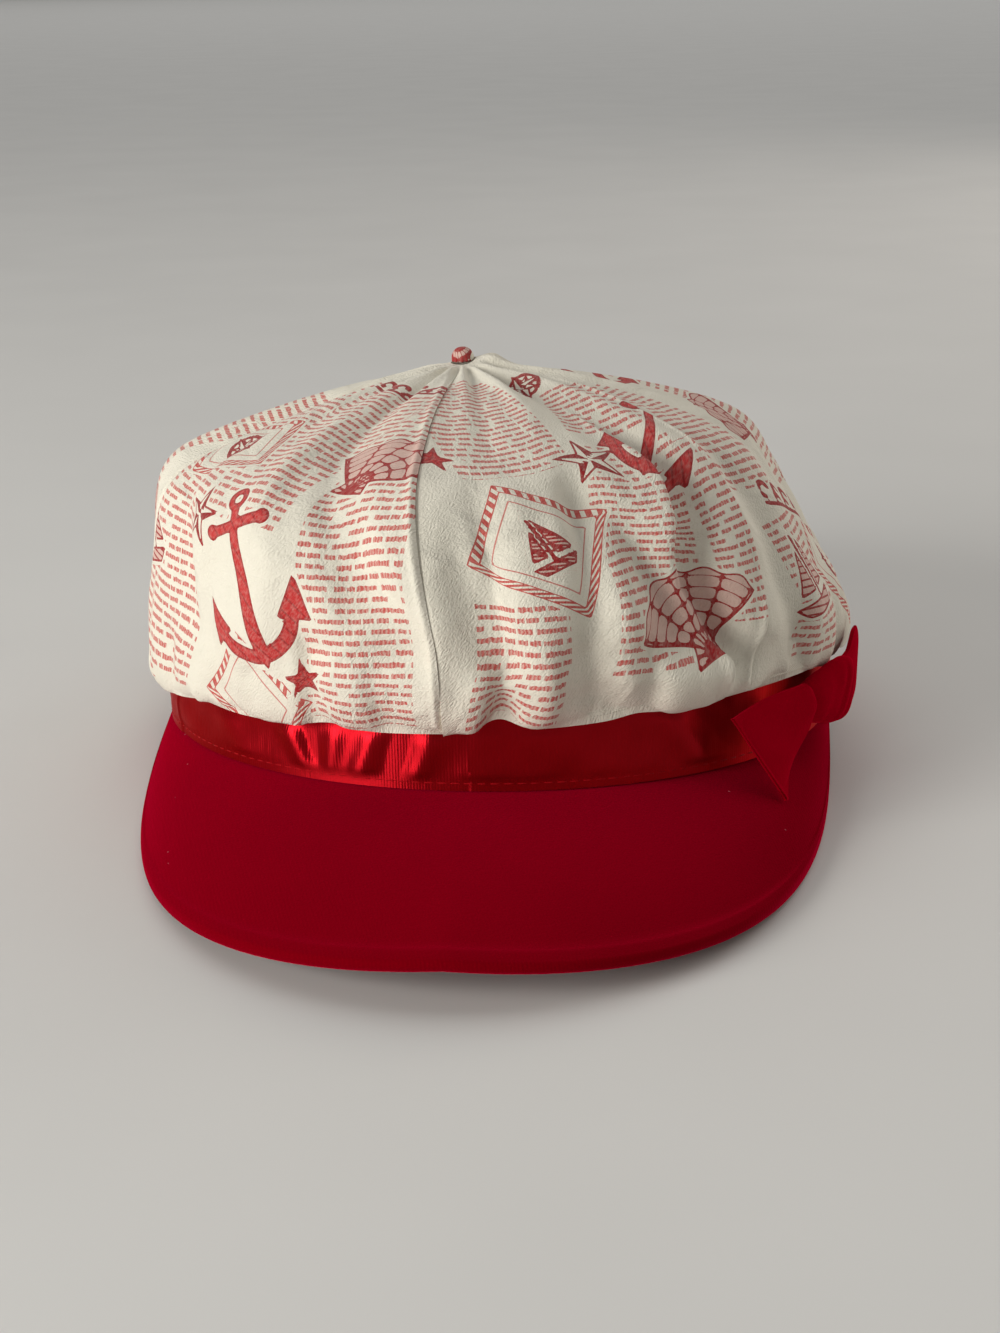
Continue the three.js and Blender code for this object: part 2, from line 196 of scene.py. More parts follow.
def flat_sheet(name: str, columns: int, rows: int) -> tuple[Piece, Array, Array]:
    """Adds a flat grid of small faces, to be laid over a surface.

    Args:
        name: the piece's name.
        columns: faces across.
        rows: faces along.

    Returns:
        The new object, and each vertex's share across and along, from 0 to 1.
    """
    bpy.ops.object.select_all(action="DESELECT")
    bpy.ops.mesh.primitive_grid_add(x_subdivisions=columns, y_subdivisions=rows, size=1, calc_uvs=True)
    piece = bpy.context.object
    piece.name = piece.data.name = name
    shares = vertex_places(piece) + 0.5
    return piece, shares[:, 0], shares[:, 1]


def unit_ball(name: str, segments: int, rings: int) -> tuple[Piece, Array]:
    """Adds a ball of radius 1, to be moulded.

    Args:
        name: the piece's name.
        segments: faces round it.
        rings: faces from pole to pole.

    Returns:
        The new object and its vertices.
    """
    bpy.ops.object.select_all(action="DESELECT")
    bpy.ops.mesh.primitive_uv_sphere_add(segments=segments, ring_count=rings, radius=1)
    piece = bpy.context.object
    piece.name = piece.data.name = name
    return piece, vertex_places(piece)


def vertex_places(piece: Piece) -> Array:
    """Reads the vertices as the mesh has them.

    Args:
        piece: the object.

    Returns:
        One row of three numbers a vertex.
    """
    flat = np.zeros(len(piece.data.vertices) * 3)
    piece.data.vertices.foreach_get("co", flat)
    return flat.reshape(-1, 3)


def move_vertices(piece: Piece, points: Array) -> None:
    """Puts the piece's vertices at points given in millimetres from the headband's middle.

    Args:
        piece: the object.
        points: one row of three numbers a vertex.
    """
    piece.data.vertices.foreach_set("co", ((points + MIDDLE) * MM).ravel())
    piece.data.update()


def select_only(piece: Piece) -> None:
    """Selects one object and makes it the active one.

    Args:
        piece: the object.
    """
    bpy.ops.object.select_all(action="DESELECT")
    piece.select_set(True)
    bpy.context.view_layer.objects.active = piece


def face_away(piece: Piece, inside: Array) -> None:
    """Turns an open sheet's faces round if most of them look towards a point inside the piece.

    Args:
        piece: the object.
        inside: a point that the faces should look away from, in millimetres.
    """
    centre = Vector((inside + MIDDLE) * MM)
    looks = sum(face.normal.dot(face.center - centre) * face.area for face in piece.data.polygons)
    if looks < 0:
        piece.data.flip_normals()


@contextmanager
def editing(piece: Piece) -> Iterator[None]:
    """Opens a piece in edit mode with everything selected, and closes it again.

    Args:
        piece: the object.
    """
    select_only(piece)
    bpy.ops.object.mode_set(mode="EDIT")
    bpy.ops.mesh.select_all(action="SELECT")
    yield
    bpy.ops.object.mode_set(mode="OBJECT")


def face_outwards(piece: Piece) -> None:
    """Turns a closed piece's faces so that they look outwards."""
    with editing(piece):
        bpy.ops.mesh.normals_make_consistent(inside=False)


def join_edges(piece: Piece) -> None:
    """Joins the vertices of a sheet's two meeting edges."""
    with editing(piece):
        bpy.ops.mesh.remove_doubles(threshold=JOIN_DISTANCE * MM)


def apply_modifier(piece: Piece, kind: str, **settings: object) -> None:
    """Adds a modifier with its settings and applies it.

    Args:
        piece: the object.
        kind: the modifier's type.
        settings: its properties.
    """
    select_only(piece)
    modifier = piece.modifiers.new(kind.lower(), kind)
    for key, value in settings.items():
        setattr(modifier, key, value)
    bpy.ops.object.modifier_apply(modifier=modifier.name)


def thicken(piece: Piece, wall: float, inner_material: int = 0) -> None:
    """Gives a sheet its thickness, inwards from its face.

    Args:
        piece: the object.
        wall: thickness in millimetres.
        inner_material: how many material slots further on the inner face's material is.
    """
    apply_modifier(
        piece, "SOLIDIFY", thickness=wall * MM, offset=-1, use_even_offset=False,
        use_quality_normals=True, material_offset=inner_material,
    )


def store(piece: Piece, name: str, *values: Array) -> None:
    """Stores three numbers a vertex as an attribute that a material can read.

    Args:
        piece: the object.
        name: the attribute's name.
        values: up to three arrays of one number a vertex. What is missing is nought.
    """
    rows = [*values, *[np.zeros_like(values[0])] * (3 - len(values))]
    attribute = piece.data.attributes.new(name, "FLOAT_VECTOR", "POINT")
    attribute.data.foreach_set("vector", np.stack(rows, axis=1).astype(np.float32).ravel())


def dress(piece: Piece, slot: str, *materials: Material) -> None:
    """Gives a piece its materials, smooths it and lets it ride on the cap's body.

    Args:
        piece: the object.
        slot: not used.
        materials: the outer face's material, and the inner face's where it differs.
    """
    for material in materials[len(piece.data.materials) :]:
        piece.data.materials.append(material)
    select_only(piece)
    bpy.ops.object.shade_smooth_by_angle(angle=math.radians(SMOOTH_ANGLE))
    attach(piece, BODY)


Column = tuple[float, ...]
LEAST_STEP = 1e-4


@dataclass(frozen=True)
class CrownForm:
    """The crown's outer face: it leaves the button, puffs out, turns under at the hem and goes up inside.

    Each column gives a height, or how far out of the band's oval the cloth is, every 45 degrees from the
    front.
    """

    crest_z: Column = (89.8, 89, 87.8, 81, 77.5, 79.5, 84.5, 88)
    brow_z: Column = (84.3, 83, 80.5, 70, 64, 67, 75.5, 81)
    shoulder_out: Column = (-7, -7, -10.5, -9, -8, -10, -9, -7)
    shoulder_z: Column = (76, 72, 64, 57, 50, 55, 66, 73)
    side_out: Column = (5, 1, -3.5, -1, 3, 0, -1.2, 1.5)
    side_z: Column = (60, 57, 46, 42, 38, 42, 50, 57)
    belly_out: Column = (7, 4.5, 2.3, 4, 6, 5, 3, 4.5)
    belly_z: Column = (46, 45, 35, 29, 26, 26, 33, 42)
    hem_out: Column = (5.5, 4.4, 3.1, 4, 5, 4.5, 3.4, 4.5)
    hem_z: Column = (32.8, 32.4, 22, 15, 12, 11, 12.5, 27)
    seams_at_hem: tuple[float, ...] = (-3, 43, 104, 166, 229, 289)
    seams_at_top: tuple[float, ...] = (-3, 80, 125, 168, 230, 290)
    folds: tuple[Fold, ...] = (
        Fold(25, 86, 33, 40, 5, -4.5),
        Fold(36, 62, 37, 44, 7, -3.5),
        Fold(46, 60, 46, 44, 5, 1.8),
        Fold(2.5, 66, 4.5, 32, 3.5, -3.2),
        Fold(-13, 78, -9, 50, 5, -2.2),
        Fold(-20, 48, -20, 31, 4, -1.6),
        Fold(23, 44, 24, 31, 3.5, -2),
        Fold(-52, 66, -46, 34, 7, -2),
        Fold(62, 74, 58, 38, 7, 1.8),
        Fold(150, 62, 158, 18, 6, -3),
        Fold(205, 60, 196, 20, 7, -3),
        Fold(118, 60, 124, 22, 6, -2.5),
        Fold(250, 62, 255, 22, 6, -2.5),
    )
    hem_lifts: tuple[tuple[float, float, float], ...] = (
        (4.5, 3, 3), (-20, 4, 1.4), (24, 3, 0.8), (-46, 6, 1),
        (158, 5, 3), (197, 6, 3), (124, 5, 2), (254, 5, 2),
    )
    top_z: float = 90.8
    top_share: float = 0.035
    crest_share: float = 0.34
    brow_share: float = 0.7
    lean: tuple[float, float] = (-8.0, 1.0)
    tuck_out: float = -0.05
    tuck_end_out: float = -3.3
    tuck_below_band_top: float = 1.5
    seat_gap: float = 0.35
    seat_turn_down: float = 0.4
    seat_turn_in: float = 0.6
    hem_turn: float = 3.4
    stretches: int = 11
    hem_place: float = 6 / 11
    tuck_place: float = 7 / 11
    seam_ease: float = 0.45
    fold_end_fade: float = 9
    fold_clearance: float = 9
    wall: float = 1.2

    def value(self, column: Column, direction: Array) -> Array:
        """Reads a column smoothly at any direction.

        Args:
            column: its values, evenly spaced from the front towards the bow.
            direction: degrees from the front, one a point.

        Returns:
            One value a point.
        """
        table = np.array(column, float)
        place = direction % 360 / (360 / len(table))
        row = np.floor(place).astype(int)
        share = place - row
        before, here, after, beyond = (table[(row + k) % len(table)] for k in (-1, 0, 1, 2))
        return curve(here, after, (after - before) / 2, (beyond - here) / 2, share)

    def knots(self, direction: Array) -> Array:
        """The points that the profile goes through, as share of reach, out and height.

        Args:
            direction: degrees from the front, one a point.

        Returns:
            One table of knots a point.
        """
        top = BAND.bottom(direction) + BAND.height
        lift = sum(rise * bump(turn(at, direction), width) for at, width, rise in self.hem_lifts)
        hem_z = self.value(self.hem_z, direction) + lift
        hem_out = self.value(self.hem_out, direction)
        seat = top + self.seat_gap
        rows = [
            (self.top_share, 0, self.top_z),
            (self.crest_share, 0, self.value(self.crest_z, direction)),
            (self.brow_share, 0, self.value(self.brow_z, direction)),
            (1, self.value(self.shoulder_out, direction), self.value(self.shoulder_z, direction)),
            (1, self.value(self.side_out, direction), self.value(self.side_z, direction)),
            (1, self.value(self.belly_out, direction), self.value(self.belly_z, direction)),
            (1, hem_out, hem_z + self.hem_turn),
            (1, (hem_out + self.tuck_out) / 2, hem_z),
            (1, self.tuck_out, np.minimum(hem_z + self.hem_turn, top - self.tuck_below_band_top)),
            (1, self.tuck_out, seat - self.seat_turn_down),
            (1, self.tuck_out - self.seat_turn_in, seat),
            (1, self.tuck_end_out, seat),
        ]
        knots = [np.stack(np.broadcast_arrays(*row, direction)[:3], axis=-1) for row in rows]
        return np.stack(knots, axis=-2)

    def profile(self, direction: Array, place: Array) -> Array:
        """Points on the smooth line through the knots: share of reach, out and height.

        Args:
            direction: degrees from the front, one a point.
            place: from 0 at the button to 1 at the tuck's end, one a point.

        Returns:
            One row of three numbers a point.
        """
        knots = self.knots(direction)
        first = 2 * knots[:, :1] - knots[:, 1:2]
        last = 2 * knots[:, -1:] - knots[:, -2:-1]
        knots = np.concatenate([first, knots, last], axis=1)
        scaled = place * self.stretches
        stretch = np.minimum(np.floor(scaled).astype(int), self.stretches - 1)
        share = (scaled - stretch)[:, None]
        row = np.arange(len(place))
        a, b, c, d = (knots[row, stretch + k] for k in range(4))
        before, along, after = (
            np.maximum(np.linalg.norm(q - p, axis=1, keepdims=True) ** 0.5, LEAST_STEP)
            for p, q in ((a, b), (b, c), (c, d))
        )
        slope = ((b - a) / before - (c - a) / (before + along) + (c - b) / along) * along
        end_slope = ((c - b) / along - (d - b) / (along + after) + (d - c) / after) * along
        return curve(b, c, slope, end_slope, share)

    def point(self, direction: Array, place: Array) -> Array:
        """Points of the crown's outer face.

        Args:
            direction: degrees from the front, one a point.
            place: from 0 at the button to 1 at the tuck's end, one a point.

        Returns:
            One row of three numbers a point.
        """
        share, out, z = self.profile(direction, place).T
        band_top = BAND.bottom(direction) + BAND.height
        outside = np.where(place < self.tuck_place, smooth_step(share, self.crest_share, 1), 0)
        clear = smooth_step(z, band_top, band_top + self.fold_clearance)
        push = sum(fold.push(direction, z, self.fold_end_fade) for fold in self.folds) * outside * clear
        lean = smooth_step(z, band_top, self.top_z)
        angle = np.radians(direction)
        return np.stack(
            [
                (BAND.half_width + out + push) * share * np.sin(angle) + self.lean[0] * lean,
                -(BAND.half_depth + out + push) * share * np.cos(angle) + self.lean[1] * lean,
                z,
            ],
            axis=-1,
        )


CROWN_FORM = CrownForm()
INSIDE_CROWN = np.array([0.0, 0.0, 30.0])
INSIDE_BAND = np.array([0.0, 0.0, 15.0])


class Motif(Enum):
    """What the print draws: common sea ornaments, each about 2 units across before it takes its size."""

    STAR = "five-pointed star with a light and a dark half to each arm"
    ANCHOR = "anchor"
    SHELL = "scallop shell"
    SPIRAL = "spiral shell"
    COMPASS = "compass rose"
    BOAT = "sailing boat"
    SCROLL = "running wave border"


class Ink(Enum):
    """How a motif is filled."""

    LINES = 0.0
    SOLID = 1.0
    HALVES = 2.0


@dataclass(frozen=True)
class Mark:
    """A motif on one panel's flat cloth: across from the panel's middle and down from the button."""

    motif: Motif
    across: float
    down: float
    size: float
    angle: float = 0.0
    ink: Ink = Ink.SOLID


@dataclass(frozen=True)
class Block:
    """A turned rectangle on the flat cloth: a newsprint column or a chart with a rope edge."""

    across: float
    down: float
    half_width: float
    half_height: float
    angle: float = 0.0

    def local(self, u: Array, v: Array) -> tuple[Array, Array]:
        """Turns the flat cloth's points to the rectangle's own axes.

        Args:
            u: across the flat cloth, one a point.
            v: down it, one a point.

        Returns:
            How far along the lines each point is, and how far down from the middle.
        """
        angle = math.radians(self.angle)
        du, dv = u - self.across, v - self.down
        return du * math.cos(angle) + dv * math.sin(angle), dv * math.cos(angle) - du * math.sin(angle)

    def distance(self, u: Array, v: Array) -> Array:
        """Signed distance to the rectangle's edge, negative inside."""
        x, y = self.local(u, v)
        return np.maximum(np.abs(x) - self.half_width, np.abs(y) - self.half_height)


Corner = tuple[float, float]


def disc(x: Array, y: Array, cx: float, cy: float, radius: float) -> Array:
    """Signed distance to a disc."""
    return np.hypot(x - cx, y - cy) - radius


def bar(x: Array, y: Array, start: Corner, end: Corner, radius: float, end_radius: float) -> Array:
    """Signed distance to a round-ended bar whose radius may change along it.

    Args:
        x: across, one a point.
        y: up, one a point.
        start: the middle of its first end.
        end: the middle of its other end.
        radius: half its width at the first end.
        end_radius: half its width at the other end.

    Returns:
        One distance a point.
    """
    dx, dy = end[0] - start[0], end[1] - start[1]
    along = np.clip(((x - start[0]) * dx + (y - start[1]) * dy) / (dx * dx + dy * dy), 0, 1)
    width = radius + (end_radius - radius) * along
    return np.hypot(x - start[0] - along * dx, y - start[1] - along * dy) - width


def polygon(x: Array, y: Array, *corners: Corner) -> Array:
    """Signed distance to a convex polygon.

    Args:
        x: across, one a point.
        y: up, one a point.
        corners: its corners, anticlockwise.

    Returns:
        One distance a point.
    """
    far = np.full_like(x, -np.inf)
    for (ax, ay), (bx, by) in zip(corners, (*corners[1:], corners[0])):
        length = math.hypot(bx - ax, by - ay)
        far = np.maximum(far, ((x - ax) * (by - ay) - (y - ay) * (bx - ax)) / length)
    return far


def pointed_star(x: Array, y: Array, points: int, valley: float) -> tuple[Array, Array]:
    """Draws a star of radius 1.

    Args:
        x: across, one a point.
        y: up, one a point.
        points: how many arms it has.
        valley: how far its inner corners are from the middle.

    Returns:
        The signed distance to it, and the side of the nearest arm, positive on the dark half.
    """
    sector = 2 * math.pi / points
    angle = np.arctan2(x, y)
    off_arm = (angle + sector / 2) % sector - sector / 2
    radius = np.hypot(x, y)
    px, py = radius * np.cos(off_arm), radius * np.abs(np.sin(off_arm))
    vx, vy = valley * math.cos(sector / 2), valley * math.sin(sector / 2)
    length = math.hypot(1 - vx, vy)
    return ((px - 1) * vy + py * (1 - vx)) / length, radius * np.sin(off_arm)


def draw_anchor(x: Array, y: Array) -> tuple[Array, Array]:
    """Draws an anchor with a ring, stock, arms and flukes, and slanting hatch lines.

    Args:
        x: across, one a point.
        y: up, one a point.

    Returns:
        The signed distance to the outline, and a value that is nought on every inner line.
    """
    arms = np.abs(disc(x, y, 0, -0.28, 0.58)) - 0.075 + np.maximum(y + 0.4, 0)
    shape = np.minimum.reduce(
        [
            np.abs(disc(x, y, 0, 0.86, 0.11)) - 0.035,
            bar(x, y, (0, 0.74), (0, -0.84), 0.055, 0.095),
            bar(x, y, (-0.36, 0.54), (0.36, 0.54), 0.05, 0.05),
            disc(x, y, -0.4, 0.54, 0.075),
            disc(x, y, 0.4, 0.54, 0.075),
            arms,
            polygon(np.abs(x), y, (0.36, -0.5), (0.74, -0.62), (0.68, -0.12)),
            polygon(x, y, (-0.12, -0.8), (0, -1.0), (0.12, -0.8)),
        ]
    )
    return shape, hatch(x * 0.8 + y * 0.5, 0.13)


def hatch(place: Array, spacing: float) -> Array:
    """A value that crosses zero at every line of a hatching."""
    return np.sin(place / spacing * math.pi) * spacing / math.pi


def draw_shell(x: Array, y: Array) -> tuple[Array, Array]:
    """Draws a scallop with ears, ribs and growth rings.

    Args:
        x: across, one a point.
        y: up, one a point.

    Returns:
        The signed distance to the outline, and a value that is nought on every inner line.
    """
    radius, angle = np.hypot(x, y + 0.8), np.arctan2(x, y + 0.8)
    edge = 1.55 + 0.045 * np.cos(angle * 16)
    fan = np.maximum(radius - edge, (np.abs(angle) - 1.02) * radius)
    ears = polygon(x, y, (-0.42, -0.86), (0.42, -0.86), (0.3, -0.58), (-0.3, -0.58))
    ribs = np.cos(angle * 8) * radius * 0.12
    rings = np.sin((radius + 0.05) ** 1.4 * 9) * 0.11
    return np.minimum(fan, ears), ribs * rings * 9


def draw_spiral(x: Array, y: Array) -> tuple[Array, Array]:
    """Draws a spiral shell with chambers.

    Args:
        x: across, one a point.
        y: up, one a point.

    Returns:
        The signed distance to the outline, and a value that is nought on every inner line.
    """
    radius, angle = np.hypot(x, y), np.arctan2(y, x) % (2 * math.pi)
    growth = math.log(1.9) / (2 * math.pi)
    outer = np.exp(growth * (angle - 2 * math.pi))
    whorl = (np.log(np.maximum(radius, 1e-3)) / growth - angle) / 2
    chambers = np.sin(angle * 7 - radius * 4) * radius * 0.11
    return radius - outer, np.sin(whorl) * chambers * 7 * np.maximum(radius, 0.12)


def draw_compass(x: Array, y: Array) -> tuple[Array, Array]:
    """Draws a compass rose of eight points in two rings.

    Args:
        x: across, one a point.
        y: up, one a point.

    Returns:
        The signed distance to the outline, and a value that is nought on every inner line.
    """
    radius = np.hypot(x, y)
    long_arms, side = pointed_star(x, y, 4, 0.3)
    turned = math.sqrt(0.5)
    short_arms, short_side = pointed_star((x + y) * turned / 0.66, (y - x) * turned / 0.66, 4, 0.42)
    rings = np.minimum(np.abs(radius - 0.74) - 0.028, np.abs(radius - 0.84) - 0.014)
    star = np.minimum(long_arms, short_arms * 0.66)
    side = np.where(long_arms < short_arms * 0.66, side, short_side * 0.66)
    return np.minimum(star, rings), np.where(rings < star, 0.3, side)


def draw_boat(x: Array, y: Array) -> tuple[Array, Array]:
    """Draws a boat with two sails.

    Args:
        x: across, one a point.
        y: up, one a point.

    Returns:
        The signed distance to the outline, and a value that is nought on every inner line.
    """
    shape = np.minimum.reduce(
        [
            polygon(x, y, (-0.6, -0.95), (0.62, -0.95), (0.92, -0.62), (-0.82, -0.66)),
            bar(x, y, (0.01, -0.6), (0.01, 1.0), 0.03, 0.03),
            polygon(x, y, (0.17, -0.4), (0.82, -0.4), (0.17, 0.86)),
            polygon(x, y, (-0.15, -0.4), (-0.15, 0.62), (-0.68, -0.4)),
        ]
    )
    return shape, hatch(x * 0.25 + y, 0.17)


def draw_scroll(x: Array, y: Array) -> tuple[Array, Array]:
    """Draws a row of curling waves on a line.

    Args:
        x: across, one a point.
        y: up, one a point.

    Returns:
        The signed distance to the outline, and a value that is nought on every inner line.
    """
    wave = 0.46
    local = (x + wave / 2) % wave - wave / 2
    curl = np.abs(disc(local, y, 0.02, 0.02, 0.13)) - 0.035
    opening = polygon(local, y, (0.02, -0.2), (0.3, -0.2), (0.3, 0.04), (0.02, 0.04))
    back = bar(local, y, (-0.23, -0.17), (-0.08, 0.06), 0.035, 0.035)
    crest = np.minimum(np.maximum(curl, -opening), back)
    shape = np.minimum(crest, np.abs(y + 0.24) - 0.022)
    return np.maximum(shape, np.abs(x) - 1), np.full_like(x, 0.3)


DRAWINGS: dict[Motif, Callable[[Array, Array], tuple[Array, Array]]] = {
    Motif.STAR: lambda x, y: pointed_star(x, y, 5, 0.36),
    Motif.ANCHOR: draw_anchor,
    Motif.SHELL: draw_shell,
    Motif.SPIRAL: draw_spiral,
    Motif.COMPASS: draw_compass,
    Motif.BOAT: draw_boat,
    Motif.SCROLL: draw_scroll,
}

FAR = 50.0
MOTIF_MARGIN = 1.0
ROPE_MARGIN = 1.8
ROPE_TO_INNER_LINE = 3.2


@dataclass(frozen=True)
class Print:
    """What one panel's cloth shows: newsprint columns, charts with rope edges, and marks."""

    columns: Sequence[Block]
    charts: Sequence[Block]
    marks: Sequence[Mark]

    def apply(self, piece: Piece, u: Array, v: Array) -> None:
        """Stores how far each vertex is from every printed shape, for the printed cotton to read.

        Args:
            piece: the object.
            u: how far across the flat cloth each vertex is, in millimetres.
            v: how far down it.
        """
        newsprint = np.stack([u, v, np.full_like(u, FAR)])
        for block in self.columns:
            x, y = block.local(u, v)
            distance = block.distance(u, v)
            newsprint = np.where(distance < newsprint[2], [x, y + block.down, distance], newsprint)
        rope = np.stack([np.full_like(u, FAR), u, np.full_like(u, FAR)])
        for block in self.charts:
            x, y = block.local(u, v)
            distance = block.distance(u, v)
            drawn = [distance, x + y, distance + ROPE_TO_INNER_LINE]
            rope = np.where(np.abs(distance) < np.abs(rope[0]), drawn, rope)
        motif = np.stack([np.full_like(u, FAR), np.full_like(u, FAR), u * 0])
        for mark in self.marks:
            angle = math.radians(mark.angle)
            du, dv = (u - mark.across) / mark.size, (mark.down - v) / mark.size
            x, y = du * math.cos(angle) + dv * math.sin(angle), dv * math.cos(angle) - du * math.sin(angle)
            shape, detail = DRAWINGS[mark.motif](x, y)
            drawn = [shape * mark.size, detail * mark.size, u * 0 + mark.ink.value]
            motif = np.where(drawn[0] < motif[0], drawn, motif)
        near_motif = MOTIF_MARGIN - motif[0]
        newsprint[2] = np.maximum.reduce([newsprint[2], near_motif, ROPE_MARGIN - rope[0]])
        rope[0] = np.where(near_motif > 0, FAR, rope[0])
        store(piece, "cloth", u, v)
        store(piece, "newsprint", *newsprint)
        store(piece, "rope", *rope)
        store(piece, "motif", *motif)


PANEL_PRINTS = (
    Print(
        columns=(
            Block(-16, 46, 13, 26, -4), Block(13, 94, 13, 30, 3), Block(17, 47, 13, 12, 8),
            Block(-22, 120, 10, 14, 0), Block(38, 92, 9.5, 24, -4),
        ),
        charts=(Block(-14, 92, 13, 12, 24),),
        marks=(
            Mark(Motif.ANCHOR, 24, 63, 17, -38),
            Mark(Motif.SHELL, 21, 113, 13, 14, Ink.LINES),
            Mark(Motif.STAR, 3, 70, 8, 12, Ink.HALVES),
            Mark(Motif.STAR, -31, 66, 4.5, -20),
            Mark(Motif.BOAT, -14, 92, 7, 24, Ink.LINES),
            Mark(Motif.COMPASS, 4, 26, 6, 0, Ink.HALVES),
        ),
    ),
    Print(
        columns=(
            Block(-24, 58, 11, 26, 8), Block(18, 62, 14, 28, 4), Block(35, 106, 9, 18, 6),
            Block(-24, 110, 10, 18, -5),
        ),
        charts=(Block(2, 108, 16, 11, 32),),
        marks=(
            Mark(Motif.SCROLL, -14, 90, 15, -20),
            Mark(Motif.SHELL, 1, 66, 11, 30, Ink.LINES),
            Mark(Motif.STAR, 27, 94, 6, 0, Ink.HALVES),
            Mark(Motif.COMPASS, 2, 108, 7, 0, Ink.HALVES),
            Mark(Motif.ANCHOR, 9, 32, 13, -70),
            Mark(Motif.BOAT, -27, 108, 10, 10, Ink.LINES),
        ),
    ),
    Print(
        columns=(Block(-20, 74, 13, 36, -4), Block(20, 58, 13, 26, 5), Block(-8, 122, 12, 10, 2)),
        charts=(Block(24, 106, 18, 12, -30),),
        marks=(
            Mark(Motif.COMPASS, -20, 114, 11, 0, Ink.HALVES),
            Mark(Motif.STAR, 1, 78, 7, 10, Ink.HALVES),
            Mark(Motif.ANCHOR, 22, 80, 17, -35),
            Mark(Motif.SHELL, 2, 36, 9, 0, Ink.LINES),
            Mark(Motif.BOAT, 24, 106, 7, -30, Ink.LINES),
        ),
    ),
    Print(
        columns=(Block(-24, 60, 12, 28, 6), Block(6, 74, 12.5, 38, -2), Block(35, 78, 11, 26, -6)),
        charts=(Block(-26, 110, 15, 10, 25),),
        marks=(
            Mark(Motif.ANCHOR, -10, 86, 19, 12),
            Mark(Motif.SHELL, 12, 116, 13, -10, Ink.LINES),
            Mark(Motif.STAR, 34, 108, 7, 0, Ink.HALVES),
            Mark(Motif.SPIRAL, -26, 110, 6, 0, Ink.LINES),
            Mark(Motif.SCROLL, 4, 28, 12, 8),
        ),
    ),
    Print(
        columns=(
            Block(-21, 64, 12, 30, 5), Block(18, 68, 14, 34, -3), Block(36, 106, 9, 18, 0),
            Block(-36, 112, 7, 14, 4),
        ),
        charts=(Block(2, 114, 15, 11, -34),),
        marks=(
            Mark(Motif.STAR, -2, 46, 7, 0, Ink.HALVES),
            Mark(Motif.ANCHOR, -22, 104, 18, -15),
            Mark(Motif.SHELL, 21, 90, 12, 14, Ink.LINES),
            Mark(Motif.COMPASS, 2, 114, 7, 0, Ink.HALVES),
            Mark(Motif.BOAT, 1, 76, 10, 0, Ink.LINES),
        ),
    ),
    Print(
        columns=(
            Block(36, 100, 12.5, 32, -3), Block(7, 58, 13, 32, 5), Block(-26, 98, 13, 30, 9),
            Block(30, 44, 10, 18, 8), Block(-14, 40, 9, 16, -12), Block(-50, 112, 8, 18, 12),
        ),
        charts=(Block(-17, 65, 13, 9.5, -16), Block(9, 128, 12, 10, 40)),
        marks=(
            Mark(Motif.ANCHOR, 9, 100, 20, 18),
            Mark(Motif.SHELL, 31, 68, 12, -22, Ink.LINES),
            Mark(Motif.STAR, -9, 89, 7.5, -8, Ink.HALVES),
            Mark(Motif.STAR, 24, 121, 4.5, 14),
            Mark(Motif.COMPASS, -17, 65, 6.5, -16, Ink.HALVES),
            Mark(Motif.BOAT, -41, 96, 9, 8, Ink.LINES),
            Mark(Motif.SCROLL, 8, 27, 12, -10),
        ),
    ),
)


class Finish:
    """A material while it is made: its nodes, each known by a name."""

    def __init__(self, name: str) -> None:
        """Makes an empty node material.

        Args:
            name: the material's name.
        """
        self.material = bpy.data.materials.new(name)
        self.material.use_nodes = True
        self.material.node_tree.nodes.clear()
        self.nodes: dict[str, bpy.types.Node] = {}

    def add(self, name: str, kind: str, inputs: dict | Sequence = (), **settings: object) -> None:
        """Adds a node with its settings and links.

        Args:
            name: what later nodes call it.
            kind: the node's type, without the words that all types start with.
            inputs: a value or a link for each input, by place or by name. A link is text: an earlier
                node's name, or that name, a colon and one of its outputs.
            settings: the node's properties.
        """
        node = self.material.node_tree.nodes.new("ShaderNode" + kind)
        for key, value in settings.items():
            setattr(node, key, value)
        for key, value in inputs.items() if isinstance(inputs, dict) else enumerate(inputs):
            if isinstance(value, str):
                source, _, output = value.partition(":")
                outputs = self.nodes[source].outputs
                socket = outputs[output] if output else next(end for end in outputs if end.enabled)
                self.material.node_tree.links.new(socket, node.inputs[key])
            else:
                node.inputs[key].default_value = value
        self.nodes[name] = node


MIX_SHARE, MIX_FIRST, MIX_SECOND = 0, 6, 7
PER_MM = 1 / MM
FULL_TURN = 2 * math.pi
SEED_STEP = 37.0


